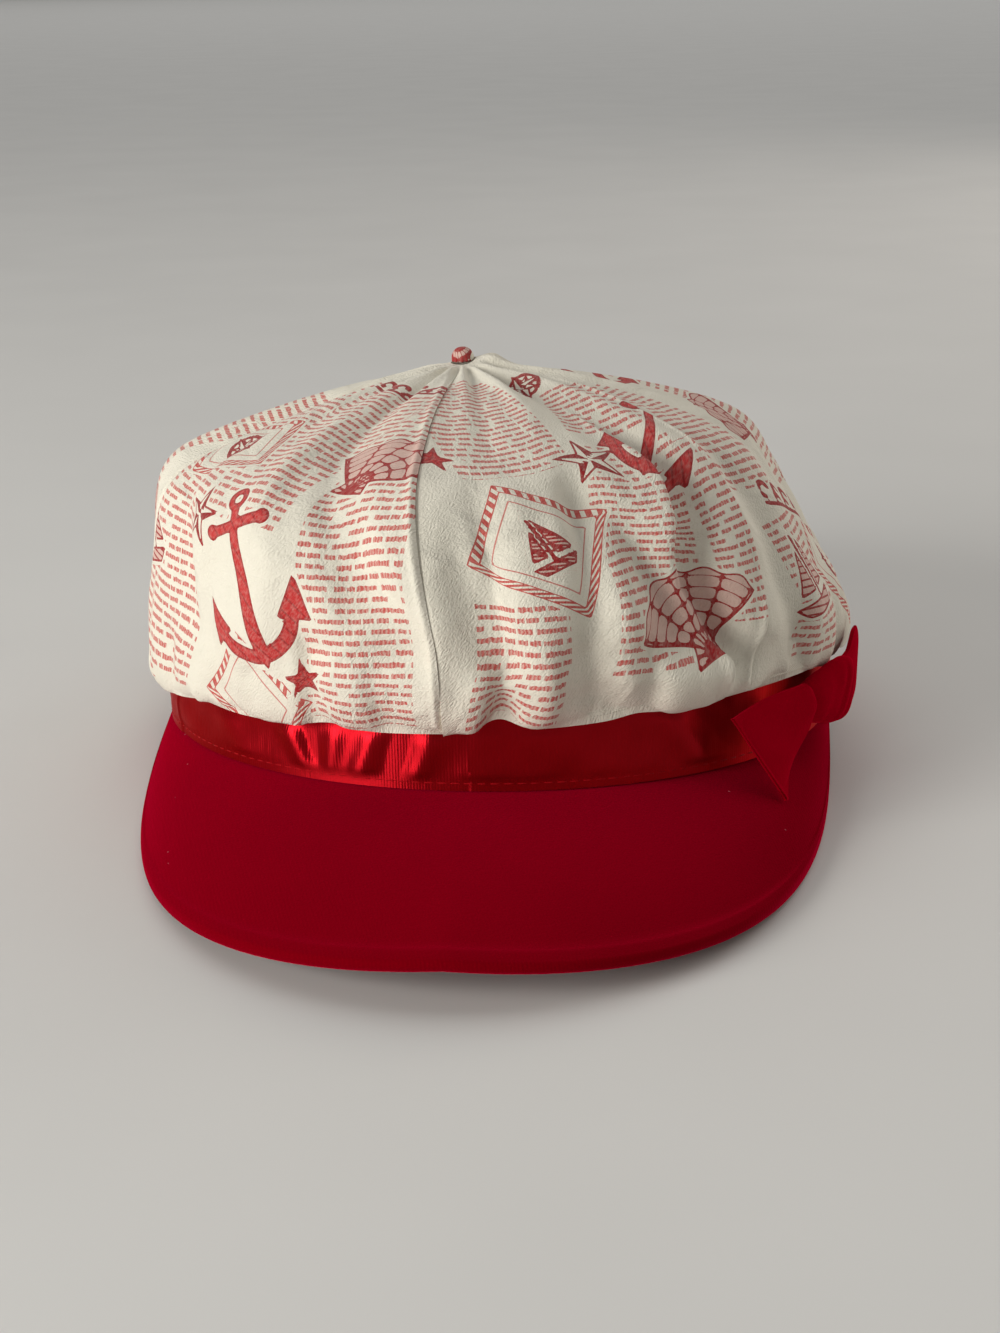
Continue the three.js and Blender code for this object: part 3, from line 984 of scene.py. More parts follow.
@dataclass(frozen=True)
class PrintedCotton:
    """Cotton twill printed by roller in red on cream.

    It is matt and slightly crinkled, its broken slanting ribs catch the light, and the ink is thin enough
    for the weave to show through it. The real rib is about half as wide and is drawn coarser so that it
    shows.
    """

    cream: str = "E6E2D4"
    shaded_cream: str = "DAD5C6"
    ink: str = "BB3030"
    dark_ink: str = "8F1318"
    pale_ink: str = "C0504A"
    line_pitch: float = 2.3
    line_middle: float = 0.45
    line_shift: float = 0.371
    word_length: float = 4.3
    word_gap: float = 0.17
    word_drift: float = 3.4
    least_height: float = 0.05
    ragged_height: float = 0.34
    stroke_pitch: float = 0.8
    stroke_scatter: float = 7.0
    stroke_contrast: float = 0.2
    strand_length: float = 2.6
    strand_slant: float = 1.6
    strand_share: float = 0.55
    rope_half_width: float = 0.8
    rope_edge_at: float = 0.88
    rope_edge_half_width: float = 0.13
    inner_line_half_width: float = 0.17
    faint_share: float = 0.8
    outline_half_width: float = 0.24
    detail_half_width: float = 0.2
    tint_share: float = 0.4
    dark_line_share: float = 0.75
    rib_width: float = 0.45
    rib_stretch: float = 0.35
    rib_slant: float = 0.8
    slub_share: float = 0.7
    wear_share: float = 0.4
    show_through: float = 0.3
    crinkle_depth: float = 2.0
    weave_depth: float = 0.3
    name: str = "printed_cotton_twill"

    def build(self) -> Material:
        """Makes the node material.

        Returns:
            The material.
        """
        finish = Finish(self.name)
        for name in ("cloth", "newsprint", "rope", "motif"):
            finish.add(f"{name}_stored", "Attribute", attribute_name=name)
            finish.add(name, "SeparateXYZ", [f"{name}_stored:Vector"])
        self.add_words(finish)
        self.add_rope(finish)
        self.add_motifs(finish)
        self.add_weave(finish)
        for name, operation, *inputs in (
            ("thin_ink", "MAXIMUM", "words", "rope_ink"),
            ("no_motif", "SUBTRACT", 1.0, "motif_ink"),
            ("thin_alone", "MULTIPLY", "thin_ink", "no_motif"),
            ("all_ink", "MAXIMUM", "thin_ink", "motif_ink"),
        ):
            finish.add(name, "Math", inputs, operation=operation)
        finish.add("wear", "TexNoise", {"Vector": "cloth_stored:Vector", "Scale": 0.9, "Detail": 3.0})
        finish.add("worn", "Math", ["wear", self.wear_share, 1 - self.wear_share], operation="MULTIPLY_ADD")
        finish.add("woven", "Math", ["ribs", self.show_through, "worn"], operation="MULTIPLY_ADD",
                   use_clamp=True)
        finish.add("ink_share", "Math", ["all_ink", "woven"], operation="MULTIPLY")
        finish.add("patches", "TexNoise", {"Vector": "cloth_stored:Vector", "Scale": 0.02, "Detail": 2.0})
        for name, share, first, second in (
            ("paper", "patches", linear_colour(self.cream), linear_colour(self.shaded_cream)),
            ("red", "thin_alone", linear_colour(self.ink), linear_colour(self.pale_ink)),
            ("deep_red", "dark", "red", linear_colour(self.dark_ink)),
            ("colour", "ink_share", "paper", "deep_red"),
        ):
            finish.add(name, "Mix", {MIX_SHARE: share, MIX_FIRST: first, MIX_SECOND: second},
                       data_type="RGBA")
        finish.add("crinkles", "TexNoise", {"Vector": "cloth_stored:Vector", "Scale": 0.1, "Detail": 1.5,
                                            "Distortion": 0.6})
        finish.add("crumpled", "Bump", {"Height": "crinkles", "Strength": 0.7,
                                    "Distance": self.crinkle_depth * MM})
        finish.add("relief", "Bump", {"Height": "weave", "Normal": "crumpled", "Strength": 0.8,
                                      "Distance": self.weave_depth * MM})
        finish.add("surface", "BsdfPrincipled", {
            "Base Color": "colour", "Normal": "relief", "Roughness": 0.9, "Specular IOR Level": 0.3,
            "Sheen Weight": 0.08, "Sheen Roughness": 0.5,
        })
        finish.add("output", "OutputMaterial", {"Surface": "surface"})
        return finish.material

    def add_weave(self, finish: Finish) -> None:
        """Adds the twill's broken slanting ribs and the yarn's slubs.

        Args:
            finish: the material.
        """
        for name, operation, *inputs in (
            ("across_ribs", "MULTIPLY_ADD", "cloth:Y", self.rib_slant, "cloth:X"),
            ("along_ribs", "MULTIPLY_ADD", "cloth:X", -self.rib_slant, "cloth:Y"),
            ("stretched", "MULTIPLY", "along_ribs", self.rib_stretch),
        ):
            finish.add(name, "Math", inputs, operation=operation)
        finish.add("rib_at", "CombineXYZ", ["across_ribs", "stretched"])
        finish.add("ribs", "TexNoise", {"Vector": "rib_at", "Scale": 1 / self.rib_width, "Detail": 1.0})
        finish.add("slubs", "TexNoise", {"Vector": "cloth_stored:Vector", "Scale": 1.9, "Detail": 2.0})
        finish.add("weave", "Math", ["slubs", self.slub_share, "ribs"], operation="MULTIPLY_ADD")

    def add_words(self, finish: Finish) -> None:
        """Adds newsprint too small to read: lines of dashes with ragged edges and no letters.

        Args:
            finish: the material.
        """
        for name, operation, *inputs in (
            ("line_place", "DIVIDE", "newsprint:Y", self.line_pitch),
            ("line", "FLOOR", "line_place"),
            ("up_line", "FRACT", "line_place"),
            ("line_seed", "MULTIPLY", "line", SEED_STEP),
        ):
            finish.add(name, "Math", inputs, operation=operation)
        finish.add("drift_at", "CombineXYZ", ["newsprint:X", "line_seed"])
        finish.add("drift", "TexNoise", {"Vector": "drift_at", "Scale": 0.11, "Detail": 1.0})
        for name, operation, *inputs in (
            ("line_shift", "MULTIPLY", "line", self.line_shift),
            ("word_shift", "MULTIPLY_ADD", "drift", self.word_drift, "line_shift"),
            ("word_at", "MULTIPLY_ADD", "newsprint:X", 1 / self.word_length, "word_shift"),
            ("in_word", "FRACT", "word_at"),
            ("word", "GREATER_THAN", "in_word", self.word_gap),
        ):
            finish.add(name, "Math", inputs, operation=operation)
        finish.add("raggedness", "TexNoise",
                   {"Vector": "newsprint_stored:Vector", "Scale": 1.15, "Detail": 1.0})
        for name, operation, *inputs in (
            ("half_height", "MULTIPLY_ADD", "raggedness", self.ragged_height, self.least_height),
            ("dash", "COMPARE", "up_line", self.line_middle, "half_height"),
            ("in_column", "LESS_THAN", "newsprint:Z", 0.0),
            ("inked_word", "MULTIPLY", "word", "dash"),
            ("inked_line", "MULTIPLY", "inked_word", "in_column"),
            ("stroke_shift", "MULTIPLY", "raggedness", self.stroke_scatter),
        ):
            finish.add(name, "Math", inputs, operation=operation)
        finish.add("stroke_place", "Math", ["newsprint:X", FULL_TURN / self.stroke_pitch, "stroke_shift"],
                   operation="MULTIPLY_ADD")
        finish.add("stroke_wave", "Math", ["stroke_place"], operation="SINE")
        finish.add("stroke_ink", "Math", ["stroke_wave", self.stroke_contrast, 1 - self.stroke_contrast],
                   operation="MULTIPLY_ADD", use_clamp=True)
        finish.add("words", "Math", ["inked_line", "stroke_ink"], operation="MULTIPLY")

    def add_rope(self, finish: Finish) -> None:
        """Adds a twisted rope round each chart and a thin line inside it.

        Args:
            finish: the material.
        """
        for name, operation, *inputs in (
            ("twist", "MULTIPLY_ADD", "rope:X", self.strand_slant, "rope:Y"),
            ("twist_place", "DIVIDE", "twist", self.strand_length),
            ("in_strand", "FRACT", "twist_place"),
            ("strand", "LESS_THAN", "in_strand", self.strand_share),
            ("on_rope", "COMPARE", "rope:X", 0.0, self.rope_half_width),
            ("strands", "MULTIPLY", "strand", "on_rope"),
            ("off_rope", "ABSOLUTE", "rope:X"),
            ("rope_edge", "COMPARE", "off_rope", self.rope_edge_at, self.rope_edge_half_width),
            ("inner_line", "COMPARE", "rope:Z", 0.0, self.inner_line_half_width),
            ("faint_line", "MULTIPLY", "inner_line", self.faint_share),
            ("rope_lines", "MAXIMUM", "rope_edge", "faint_line"),
            ("rope_ink", "MAXIMUM", "rope_lines", "strands"),
        ):
            finish.add(name, "Math", inputs, operation=operation)

    def add_motifs(self, finish: Finish) -> None:
        """Adds the motifs, and works out how dark their ink is.

        Args:
            finish: the material.
        """
        for name, operation, *inputs in (
            ("inside", "LESS_THAN", "motif:X", 0.0),
            ("edge", "COMPARE", "motif:X", 0.0, self.outline_half_width),
            ("detail_line", "COMPARE", "motif:Y", 0.0, self.detail_half_width),
            ("drawn", "MULTIPLY", "detail_line", "inside"),
            ("is_lines", "COMPARE", "motif:Z", Ink.LINES.value, 0.5),
            ("is_solid", "COMPARE", "motif:Z", Ink.SOLID.value, 0.4),
            ("is_halves", "COMPARE", "motif:Z", Ink.HALVES.value, 0.4),
            ("dark_side", "GREATER_THAN", "motif:Y", 0.0),
            ("dark_half", "MULTIPLY", "dark_side", "is_halves"),
            ("no_halves", "SUBTRACT", 1.0, "is_halves"),
            ("drawn_lines", "MULTIPLY", "drawn", "no_halves"),
            ("tint", "MULTIPLY", "is_lines", self.tint_share),
            ("fill", "MAXIMUM", "is_solid", "dark_half"),
            ("tinted_fill", "MAXIMUM", "fill", "tint"),
            ("filled", "MULTIPLY", "tinted_fill", "inside"),
            ("outlined", "MAXIMUM", "filled", "edge"),
            ("motif_ink", "MAXIMUM", "outlined", "drawn_lines"),
            ("dark_inside", "MULTIPLY", "dark_half", "inside"),
            ("dark_lines", "MAXIMUM", "drawn_lines", "edge"),
            ("dark_share", "MULTIPLY", "dark_lines", self.dark_line_share),
            ("dark", "MAXIMUM", "dark_share", "dark_inside"),
        ):
            finish.add(name, "Math", inputs, operation=operation)


@dataclass(frozen=True)
class PlainFinish:
    """What the plain finishes share: two tones in soft patches, rows of thread, and uneven yarn.

    The pitch from thread to thread is in millimetres, along the slant. Both heights are shares of the relief.
    """

    name: str
    tones: tuple[str, str]
    patch_scale: float
    patch_detail: float = 2.0
    follows_cloth: bool = False
    slant: tuple[float, float, float] = (1.0, 0.0, 0.0)
    pitch: float = 1.0
    thread_height: float = 0.0
    yarn_scale: float = 1.0
    yarn_detail: float = 2.0
    yarn_height: float = 1.0
    yarn_stretch: tuple[float, float, float] = (1.0, 1.0, 1.0)
    relief: float = 0.0
    relief_depth: float = 0.2
    roughness: float = 0.6
    specular: float = 0.5
    gloss: str = "FFFFFF"
    sheen: float = 0.0
    sheen_roughness: float = 0.5
    bloom: str = "FFFFFF"

    def build(self) -> Material:
        """Makes the node material.

        Returns:
            The material.
        """
        finish = Finish(self.name)
        if self.follows_cloth:
            finish.add("source", "Attribute", attribute_name="cloth")
            finish.add("at", "VectorMath", {0: "source:Vector", "Scale": 1.0}, operation="SCALE")
        else:
            finish.add("source", "TexCoord")
            finish.add("at", "VectorMath", {0: "source:Object", "Scale": PER_MM}, operation="SCALE")
        finish.add("patches", "TexNoise",
                   {"Vector": "at", "Scale": self.patch_scale, "Detail": self.patch_detail})
        low, high = (linear_colour(tone) for tone in self.tones)
        finish.add("dyed", "Mix", {MIX_SHARE: "patches", MIX_FIRST: low, MIX_SECOND: high}, data_type="RGBA")
        finish.add("yarn_at", "Mapping", {"Vector": "at", "Scale": self.yarn_stretch})
        finish.add("yarn", "TexNoise",
                   {"Vector": "yarn_at", "Scale": self.yarn_scale, "Detail": self.yarn_detail})
        finish.add("across", "VectorMath", {0: "at", 1: self.slant}, operation="DOT_PRODUCT")
        for name, operation, *inputs in (
            ("thread_place", "MULTIPLY", "across:Value", FULL_TURN / self.pitch),
            ("threads", "SINE", "thread_place"),
            ("rough_yarn", "MULTIPLY", "yarn", self.yarn_height),
            ("weave", "MULTIPLY_ADD", "threads", self.thread_height, "rough_yarn"),
        ):
            finish.add(name, "Math", inputs, operation=operation)
        finish.add("relief", "Bump",
                   {"Height": "weave", "Strength": self.relief, "Distance": self.relief_depth * MM})
        finish.add("surface", "BsdfPrincipled", {
            "Base Color": self.add_colour(finish), "Normal": "relief", "Roughness": self.roughness,
            "Specular IOR Level": self.specular, "Specular Tint": linear_colour(self.gloss),
            "Sheen Weight": self.sheen, "Sheen Roughness": self.sheen_roughness,
            "Sheen Tint": linear_colour(self.bloom), **self.add_gloss(finish),
        })
        finish.add("output", "OutputMaterial", {"Surface": "surface"})
        return finish.material

    def add_colour(self, finish: Finish) -> str:
        """Names the node that colours the surface: here the dyed cloth itself."""
        return "dyed"

    def add_gloss(self, finish: Finish) -> dict[str, float | str]:
        """Gives the shader more sockets: here none."""
        return {}


@dataclass(frozen=True)
class PlainTwill(PlainFinish):
    """Undyed cotton twill, as on the crown's inside and the headband: matt cream with a fine slant."""

    name: str = "cream_cotton_twill"
    tones: tuple[str, str] = ("DDD8CA", "CDC6B6")
    patch_scale: float = 0.08
    patch_detail: float = 3.0
    slant: tuple[float, float, float] = (1.0, 1.0, 1.0)
    pitch: float = 0.95
    thread_height: float = 0.5
    yarn_scale: float = 1.2
    relief: float = 0.35
    roughness: float = 0.9
    sheen: float = 0.08


@dataclass(frozen=True)
class RedSatin(PlainFinish):
    """Polyester satin ribbon.

    Its long floats of thread flash along the folds that face the window and go nearly black between them.
    The dyed thread tints its own gloss, so the ribbon is given a metal's share of it. The threads are finer
    than a tenth of a millimetre and are drawn several times coarser.
    """

    name: str = "red_satin_ribbon"
    tones: tuple[str, str] = ("980C16", "BC1723")
    patch_scale: float = 0.05
    follows_cloth: bool = True
    pitch: float = 0.7
    thread_height: float = 0.12
    yarn_scale: float = 0.9
    yarn_detail: float = 3.0
    yarn_stretch: tuple[float, float, float] = (1.0, 0.12, 1.0)
    relief: float = 0.3
    roughness: float = 0.37
    specular: float = 1.0
    gloss: str = "FF4850"
    metallic: float = 0.85
    flash: float = 0.92
    flash_turn: float = 0.25

    def add_gloss(self, finish: Finish) -> dict[str, float | str]:
        """Draws the gloss out along the threads.

        Args:
            finish: the material.

        Returns:
            The sockets that do it.
        """
        finish.add("around", "Tangent", direction_type="UV_MAP", uv_map="UVMap")
        return {"Metallic": self.metallic, "Anisotropic": self.flash, "Anisotropic Rotation": self.flash_turn,
                "Tangent": "around"}


@dataclass(frozen=True)
class CrimsonCotton(PlainFinish):
    """Cotton sateen stretched over the peak's board: deep crimson, nearly matt, with a grain and some lint.

    The sateen's grain is finer than it is drawn here.
    """

    name: str = "crimson_cotton_sateen"
    tones: tuple[str, str] = ("6A000A", "7A000E")
    patch_scale: float = 0.03
    patch_detail: float = 4.0
    slant: tuple[float, float, float] = (1.0, 0.35, 0.0)
    pitch: float = 0.8
    thread_height: float = 0.1
    yarn_scale: float = 2.2
    relief: float = 0.4
    specular: float = 0.0
    sheen: float = 1.0
    sheen_roughness: float = 0.4
    bloom: str = "FF1048"
    lint: str = "C88088"
    lint_spacing: float = 9.0
    lint_size: float = 0.03
    lint_raggedness: float = 0.45
    lint_strength: float = 0.7

    def add_colour(self, finish: Finish) -> str:
        """Adds the lint to the dyed cloth.

        Args:
            finish: the material.

        Returns:
            The name of the node that colours the surface.
        """
        finish.add("cells", "TexVoronoi", {"Vector": "at", "Scale": 1 / self.lint_spacing})
        for name, operation, *inputs in (
            ("speck", "LESS_THAN", "cells:Distance", self.lint_size),
            ("ragged", "GREATER_THAN", "yarn", self.lint_raggedness),
            ("lint_place", "MULTIPLY", "speck", "ragged"),
            ("lint_share", "MULTIPLY", "lint_place", self.lint_strength),
        ):
            finish.add(name, "Math", inputs, operation=operation)
        finish.add("linted", "Mix", {MIX_SHARE: "lint_share", MIX_FIRST: "dyed",
                                     MIX_SECOND: linear_colour(self.lint)}, data_type="RGBA")
        return "linted"


@dataclass(frozen=True)
class CrimsonRibbon(PlainFinish):
    """Woven taffeta ribbon of the bow: matt crimson with a bloom along its folds.

    Its cross ribs are finer than they are drawn here.
    """

    name: str = "crimson_woven_ribbon"
    tones: tuple[str, str] = ("920014", "A8001C")
    patch_scale: float = 0.12
    patch_detail: float = 3.0
    follows_cloth: bool = True
    pitch: float = 0.75
    thread_height: float = 0.12
    yarn_scale: float = 1.5
    relief: float = 0.3
    relief_depth: float = 0.15
    specular: float = 0.0
    sheen: float = 0.4
    sheen_roughness: float = 0.4
    bloom: str = "FF1040"


@dataclass(frozen=True)
class RedThread(PlainFinish):
    """Spun polyester sewing thread: a dull red twisted strand with a slight shine."""

    name: str = "red_sewing_thread"
    tones: tuple[str, str] = ("B0161F", "84090F")
    patch_scale: float = 1.5
    slant: tuple[float, float, float] = (1.0, 0.0, 1.0)
    pitch: float = 0.7
    thread_height: float = 1.0
    yarn_height: float = 0.0
    relief: float = 0.3
    relief_depth: float = 0.05
    roughness: float = 0.5
    specular: float = 0.4
    gloss: str = "B0161F"


@dataclass(frozen=True)
class FloorPaint(PlainFinish):
    """Matt emulsion paint of the floor: pale grey with a slight mottle, and no relief."""

    name: str = "matt_floor_paint"
    tones: tuple[str, str] = ("DCDCDA", "D4D4D2")
    patch_scale: float = 0.01
    roughness: float = 0.7
    specular: float = 0.3


@dataclass(frozen=True)
class Crease:
    """A fold too fine for the solid: a line down the cloth with its own width on either side."""

    line: tuple[tuple[float, float], ...]
    left: float
    right: float
    depth: float
    fade: float = 6.0

    def push(self, direction: Array, z: Array) -> Array:
        """How far the fold moves the cloth outwards.

        Args:
            direction: degrees from the front, one a point.
            z: height, one a point.

        Returns:
            One distance a point.
        """
        places, heights = np.array(self.line).T
        middle = np.interp(-z, -heights, places)
        off = turn(middle, direction)
        past = np.maximum.reduce([z - heights[0], heights[-1] - z, np.zeros_like(z)])
        return self.depth * bump(off, np.where(off < 0, self.left, self.right)) * bump(past, self.fade)


FRONT_CREASES = (
    Crease(((40, 79), (34.5, 64.5), (33.5, 57.4), (35, 49), (37.5, 42)), 4.5, 1.1, 2.6),
    Crease(((43, 78), (37.5, 64.5), (36.5, 57.4), (38, 49), (40.5, 42)), 1.5, 6.0, -4.2),
    Crease(((23, 74), (19.5, 60), (18, 51), (18.5, 35)), 3.5, 3.5, -3.4),
    Crease(((25, 70), (23.5, 60), (22.5, 48)), 2.5, 3.5, 1.0),
    Crease(((6.5, 70), (5.5, 61), (5.5, 50), (5.5, 34)), 1.7, 4.0, -2.2),
    Crease(((10.5, 64), (11, 50), (11.5, 38)), 3.0, 3.5, 1.1),
    Crease(((-13, 67), (-8, 60.8), (-5.8, 54)), 5.0, 2.6, -1.8),
    Crease(((-22, 48), (-22, 33)), 1.6, 2.6, -1.9, 4),
    Crease(((26, 47), (26, 33)), 2.2, 1.6, -1.7, 4),
    Crease(((-38, 62), (-41, 50), (-40, 34)), 3.0, 5.0, -1.7),
    Crease(((-54, 74), (-50, 56), (-47, 38)), 5.0, 3.0, -1.6),
    Crease(((13, 85), (17, 78), (16, 70)), 4.0, 6.0, -1.3),
    Crease(((-22, 85), (-16, 74), (-14, 62)), 3.0, 6.0, -1.5),
    Crease(((-31, 82), (-27, 66), (-29, 50)), 6.0, 3.0, 1.3),
    Crease(((55, 80), (52, 66), (50, 52)), 5.0, 3.0, 1.3),
    Crease(((-12, 45), (-11, 33)), 1.6, 2.4, -1.3, 4),
    Crease(((14, 47), (13.5, 34)), 1.8, 2.2, -1.2, 4),
    Crease(((36, 44), (36.5, 33)), 1.6, 2.0, -1.3, 4),
    Crease(((-32, 45), (-33, 28)), 2.0, 2.8, -1.3, 4),
)


CREASE_SEED = 11


def other_creases() -> tuple[Crease, ...]:
    """Folds of the sides and the back, spread at random, where the photograph shows nothing.

    Returns:
        The folds.
    """
    random = np.random.default_rng(CREASE_SEED)
    creases = []
    for direction in np.arange(58, 304, 9.0):
        start = direction + random.uniform(-3, 3)
        low = CROWN_FORM.value(CROWN_FORM.hem_z, np.array([start]))[0]
        creases.append(
            Crease(((start, low + 13), (start + random.uniform(-1.5, 1.5), low)), random.uniform(1.5, 2.6),
                   random.uniform(1.5, 2.6), random.uniform(-1.7, -1.0), 4)
        )
    for direction in np.arange(62, 300, 19.0):
        start = direction + random.uniform(-6, 6)
        top = random.uniform(66, 84)
        middle = (start + random.uniform(-5, 5), random.uniform(48, 56))
        end = (middle[0] + random.uniform(-5, 5), random.uniform(26, 36))
        creases.append(
            Crease(((start, top), middle, end), random.uniform(2.5, 6), random.uniform(2.5, 6),
                   random.choice([-2.0, -1.5, 1.3]))
        )
    return tuple(creases)


@dataclass(frozen=True)
class Ripple:
    """A gentle wave over the whole cloth: its height, its lengths around and down, and where it starts."""

    height: float
    around: float
    down: float
    start: float

    def push(self, around: Array, z: Array) -> Array:
        """How far it moves the cloth outwards, at millimetres around and up."""
        return self.height * np.sin(around / self.around + z / self.down + self.start)


@dataclass
class Crown:
    """Six panels of printed cotton and their seams."""

    form: CrownForm = CROWN_FORM
    rows: int = 190
    fine_rows: int = 900
    past_hem: float = 1.12
    relief_past_hem: float = 1.05
    tuck_rows: int = 14
    columns: int = 120
    seam_steps: tuple[float, ...] = (0, 0.3, 0.6, 0.9, 1.2, 1.5, 1.9, 2.4, 3.1, 4.0)
    full_seam_width: float = 22.0
    seam_dip: float = 0.08
    seam_dip_width: float = 0.4
    welt_rise: float = 0.6
    welt_place: float = 1.2
    welt_width: float = 0.85
    seam_relief_from: float = 4.0
    ripples: tuple[Ripple, ...] = (
        Ripple(0.55, 9.1, 21, 0.4), Ripple(0.45, 6.3, -13, 1.9),
        Ripple(0.3, 4.1, 8.3, 5.1), Ripple(0.16, 2.3, -5.1, 2.2),
    )
    mm_a_degree: float = 1.55
    gather_depth: float = 0.5
    gather_height: float = 9.0
    gather_width: float = 1.75
    pleat_depth: float = 0.7
    pleats: int = 15
    pleat_starts: tuple[float, float] = (0.004, 0.02)
    pleat_ends: tuple[float, float] = (0.03, 0.14)
    relief_starts: tuple[float, float] = (0.01, 0.08)
    hem_clearance: float = 2.0
    hem_fade: float = 6.0
    hem_fold_share: float = 0.4
    hump_direction: float = 100.0
    hump_reach: float = 6.4
    hump_width: float = 4.3
    hump_height: float = 2.3
    hump_above: float = 80.0
    least_out: float = 1.6
    flat_columns: int = 30
    creases: tuple[Crease, ...] = FRONT_CREASES + other_creases()

    def places(self) -> Array:
        """Places along the profile that leave even rows on the cloth that shows.

        Returns:
            The places, from 0 at the button to 1 at the tuck's end.
        """
        fine = np.linspace(0, self.form.hem_place * self.past_hem, self.fine_rows)
        length = np.zeros_like(fine)
        for direction in (0, 60, 120, 180, 240, 300):
            points = self.form.point(np.full_like(fine, direction), fine)
            length[1:] += np.linalg.norm(np.diff(points, axis=0), axis=1).cumsum()
        shown = np.interp(np.linspace(0, length[-1], self.rows), length, fine)
        tuck = np.linspace(shown[-1], 1, self.tuck_rows + 1)[1:]
        return np.concatenate([shown, tuck])

    def seams(self, panel: int, place: Array) -> tuple[Array, Array]:
        """The directions of a panel's two seams.

        Args:
            panel: which panel.
            place: places along the profile.

        Returns:
            The seam it starts at and the way round to the one it ends at, one a place.
        """
        fall = np.minimum(place / self.form.hem_place, 1) ** self.form.seam_ease
        top, hem = np.array(self.form.seams_at_top), np.array(self.form.seams_at_hem)
        after = (panel + 1) % len(hem)
        start = top[panel] + (hem[panel] - top[panel]) * fall
        end = top[after] + (hem[after] - top[after]) * fall
        return start, turn(start, end)

    def shares(self, width: Array) -> Array:
        """Shares across a panel, close together at both seams.

        Args:
            width: the panel's width at each row.

        Returns:
            One row of shares a row of the panel.
        """
        edge = np.array(self.seam_steps) / self.full_seam_width
        fixed = np.outer(np.minimum(self.full_seam_width / width, 1), edge)
        between = np.linspace(0, 1, self.columns - 2 * len(edge) + 3)[1:-1]
        middle = fixed[:, -1:] + (1 - 2 * fixed[:, -1:]) * between
        return np.concatenate([fixed, middle, 1 - fixed[:, ::-1]], axis=1)

    def wrinkles(self, direction: Array, points: Array, place: Array) -> Array:
        """The relief on the smooth form: ripples, folds, gathers over the hem and pleats at the button.

        Args:
            direction: degrees from the front, one a point.
            points: the smooth form's points.
            place: places along the profile, one a point.

        Returns:
            How far out each point moves.
        """
        x, y, z = points.T
        around = direction * self.mm_a_degree
        angle = np.radians(direction)
        shown = place < self.form.tuck_place
        hem_z = self.form.value(self.form.hem_z, direction)
        ripple = sum(wave.push(around, z) for wave in self.ripples)
        folds = sum(crease.push(direction, z) for crease in self.creases)
        above_hem = smooth_step(z, hem_z - self.hem_clearance, hem_z + self.hem_fade)
        over = above_hem * (1 - self.hem_fold_share) + self.hem_fold_share
        relief = (ripple + folds * over) * (shown * smooth_step(place, *self.relief_starts))
        low = np.exp(-np.maximum(z - hem_z - self.hem_clearance, 0) / self.gather_height) * shown
        uneven = 0.55 + 0.45 * np.sin(around / 11.3 + 1)
        gather = np.sin(around / self.gather_width + 1.3 * np.sin(around / 7.7)) * uneven
        relief = relief + gather * low * self.gather_depth
        high = smooth_step(place, *self.pleat_starts) * (1 - smooth_step(place, *self.pleat_ends))
        pleat = np.sin(angle * self.pleats + 1.2 * np.sin(angle * 3))
        relief = relief + pleat * high * self.pleat_depth
        out = (np.hypot(x / BAND.half_width, y / BAND.half_depth) - 1) * BAND.half_depth
        beside_band = z < BAND.bottom(direction) + BAND.height + self.hem_clearance
        held = np.maximum(relief, np.minimum(self.least_out - out, 0))
        return np.where(beside_band & shown, held, relief) + self.hump(x, y) * (z > self.hump_above)

    def hump(self, x: Array, y: Array) -> Array:
        """The small raised fold beside the button.

        Args:
            x: one a point.
            y: one a point.

        Returns:
            How far out each point moves.
        """
        angle = math.radians(self.hump_direction)
        middle_x = self.form.lean[0] + self.hump_reach * math.sin(angle)
        middle_y = self.form.lean[1] - self.hump_reach * math.cos(angle)
        return self.hump_height * bump(np.hypot(x - middle_x, y - middle_y), self.hump_width)

    def build_panel(self, panel: int, cloth: Material, reverse: Material) -> Piece:
        """Makes one panel.

        Args:
            panel: which one, counted from the front seam towards the bow.
            cloth: the printed face.
            reverse: the plain inner face.

        Returns:
            The panel.
        """
        places = self.places()
        start, sweep = self.seams(panel, places)
        coarse = np.linspace(0, 1, self.flat_columns)
        line = (start[:, None] + coarse * sweep[:, None]).ravel()
        outline = self.form.point(line, np.repeat(places, len(coarse))).reshape(len(places), len(coarse), 3)
        width = np.linalg.norm(np.diff(outline, axis=1), axis=2).sum(axis=1)
        shares = self.shares(width)
        rows, columns = shares.shape
        place = np.repeat(places, columns)
        direction = (start[:, None] + shares * sweep[:, None]).ravel()
        smooth = self.form.point(direction, place)
        points = smooth.reshape(rows, columns, 3)
        steps = np.linalg.norm(np.diff(points, axis=1), axis=2)
        u = np.concatenate([np.zeros((rows, 1)), steps.cumsum(axis=1)], axis=1)
        middle = points[:, columns // 2]
        down = np.concatenate([[0], np.linalg.norm(np.diff(middle, axis=0), axis=1).cumsum()])
        down += np.linalg.norm(middle[0, :2] - np.array(self.form.lean))
        normal = np.cross(np.gradient(points, axis=0), np.gradient(points, axis=1))
        normal /= np.maximum(np.linalg.norm(normal, axis=2, keepdims=True), 1e-9)
        to_end = u[:, -1:] - u
        shown = (place < self.form.hem_place * self.relief_past_hem).reshape(rows, columns)
        dip = -self.seam_dip * (bump(u, self.seam_dip_width) + bump(to_end, self.seam_dip_width))
        welt = self.welt_rise * bump(to_end - self.welt_place, self.welt_width)
        relief = self.wrinkles(direction, smooth, place).reshape(rows, columns)
        wide_enough = smooth_step(u[:, -1:], self.seam_relief_from, self.full_seam_width)
        relief = relief + (dip + welt) * shown * wide_enough
        points = (points + normal * relief[..., None]).reshape(-1, 3)
        piece, across, along = flat_sheet(f"crown_panel_{panel + 1}_cloth", columns - 1, rows - 1)
        row = np.rint(along * (rows - 1)).astype(int)
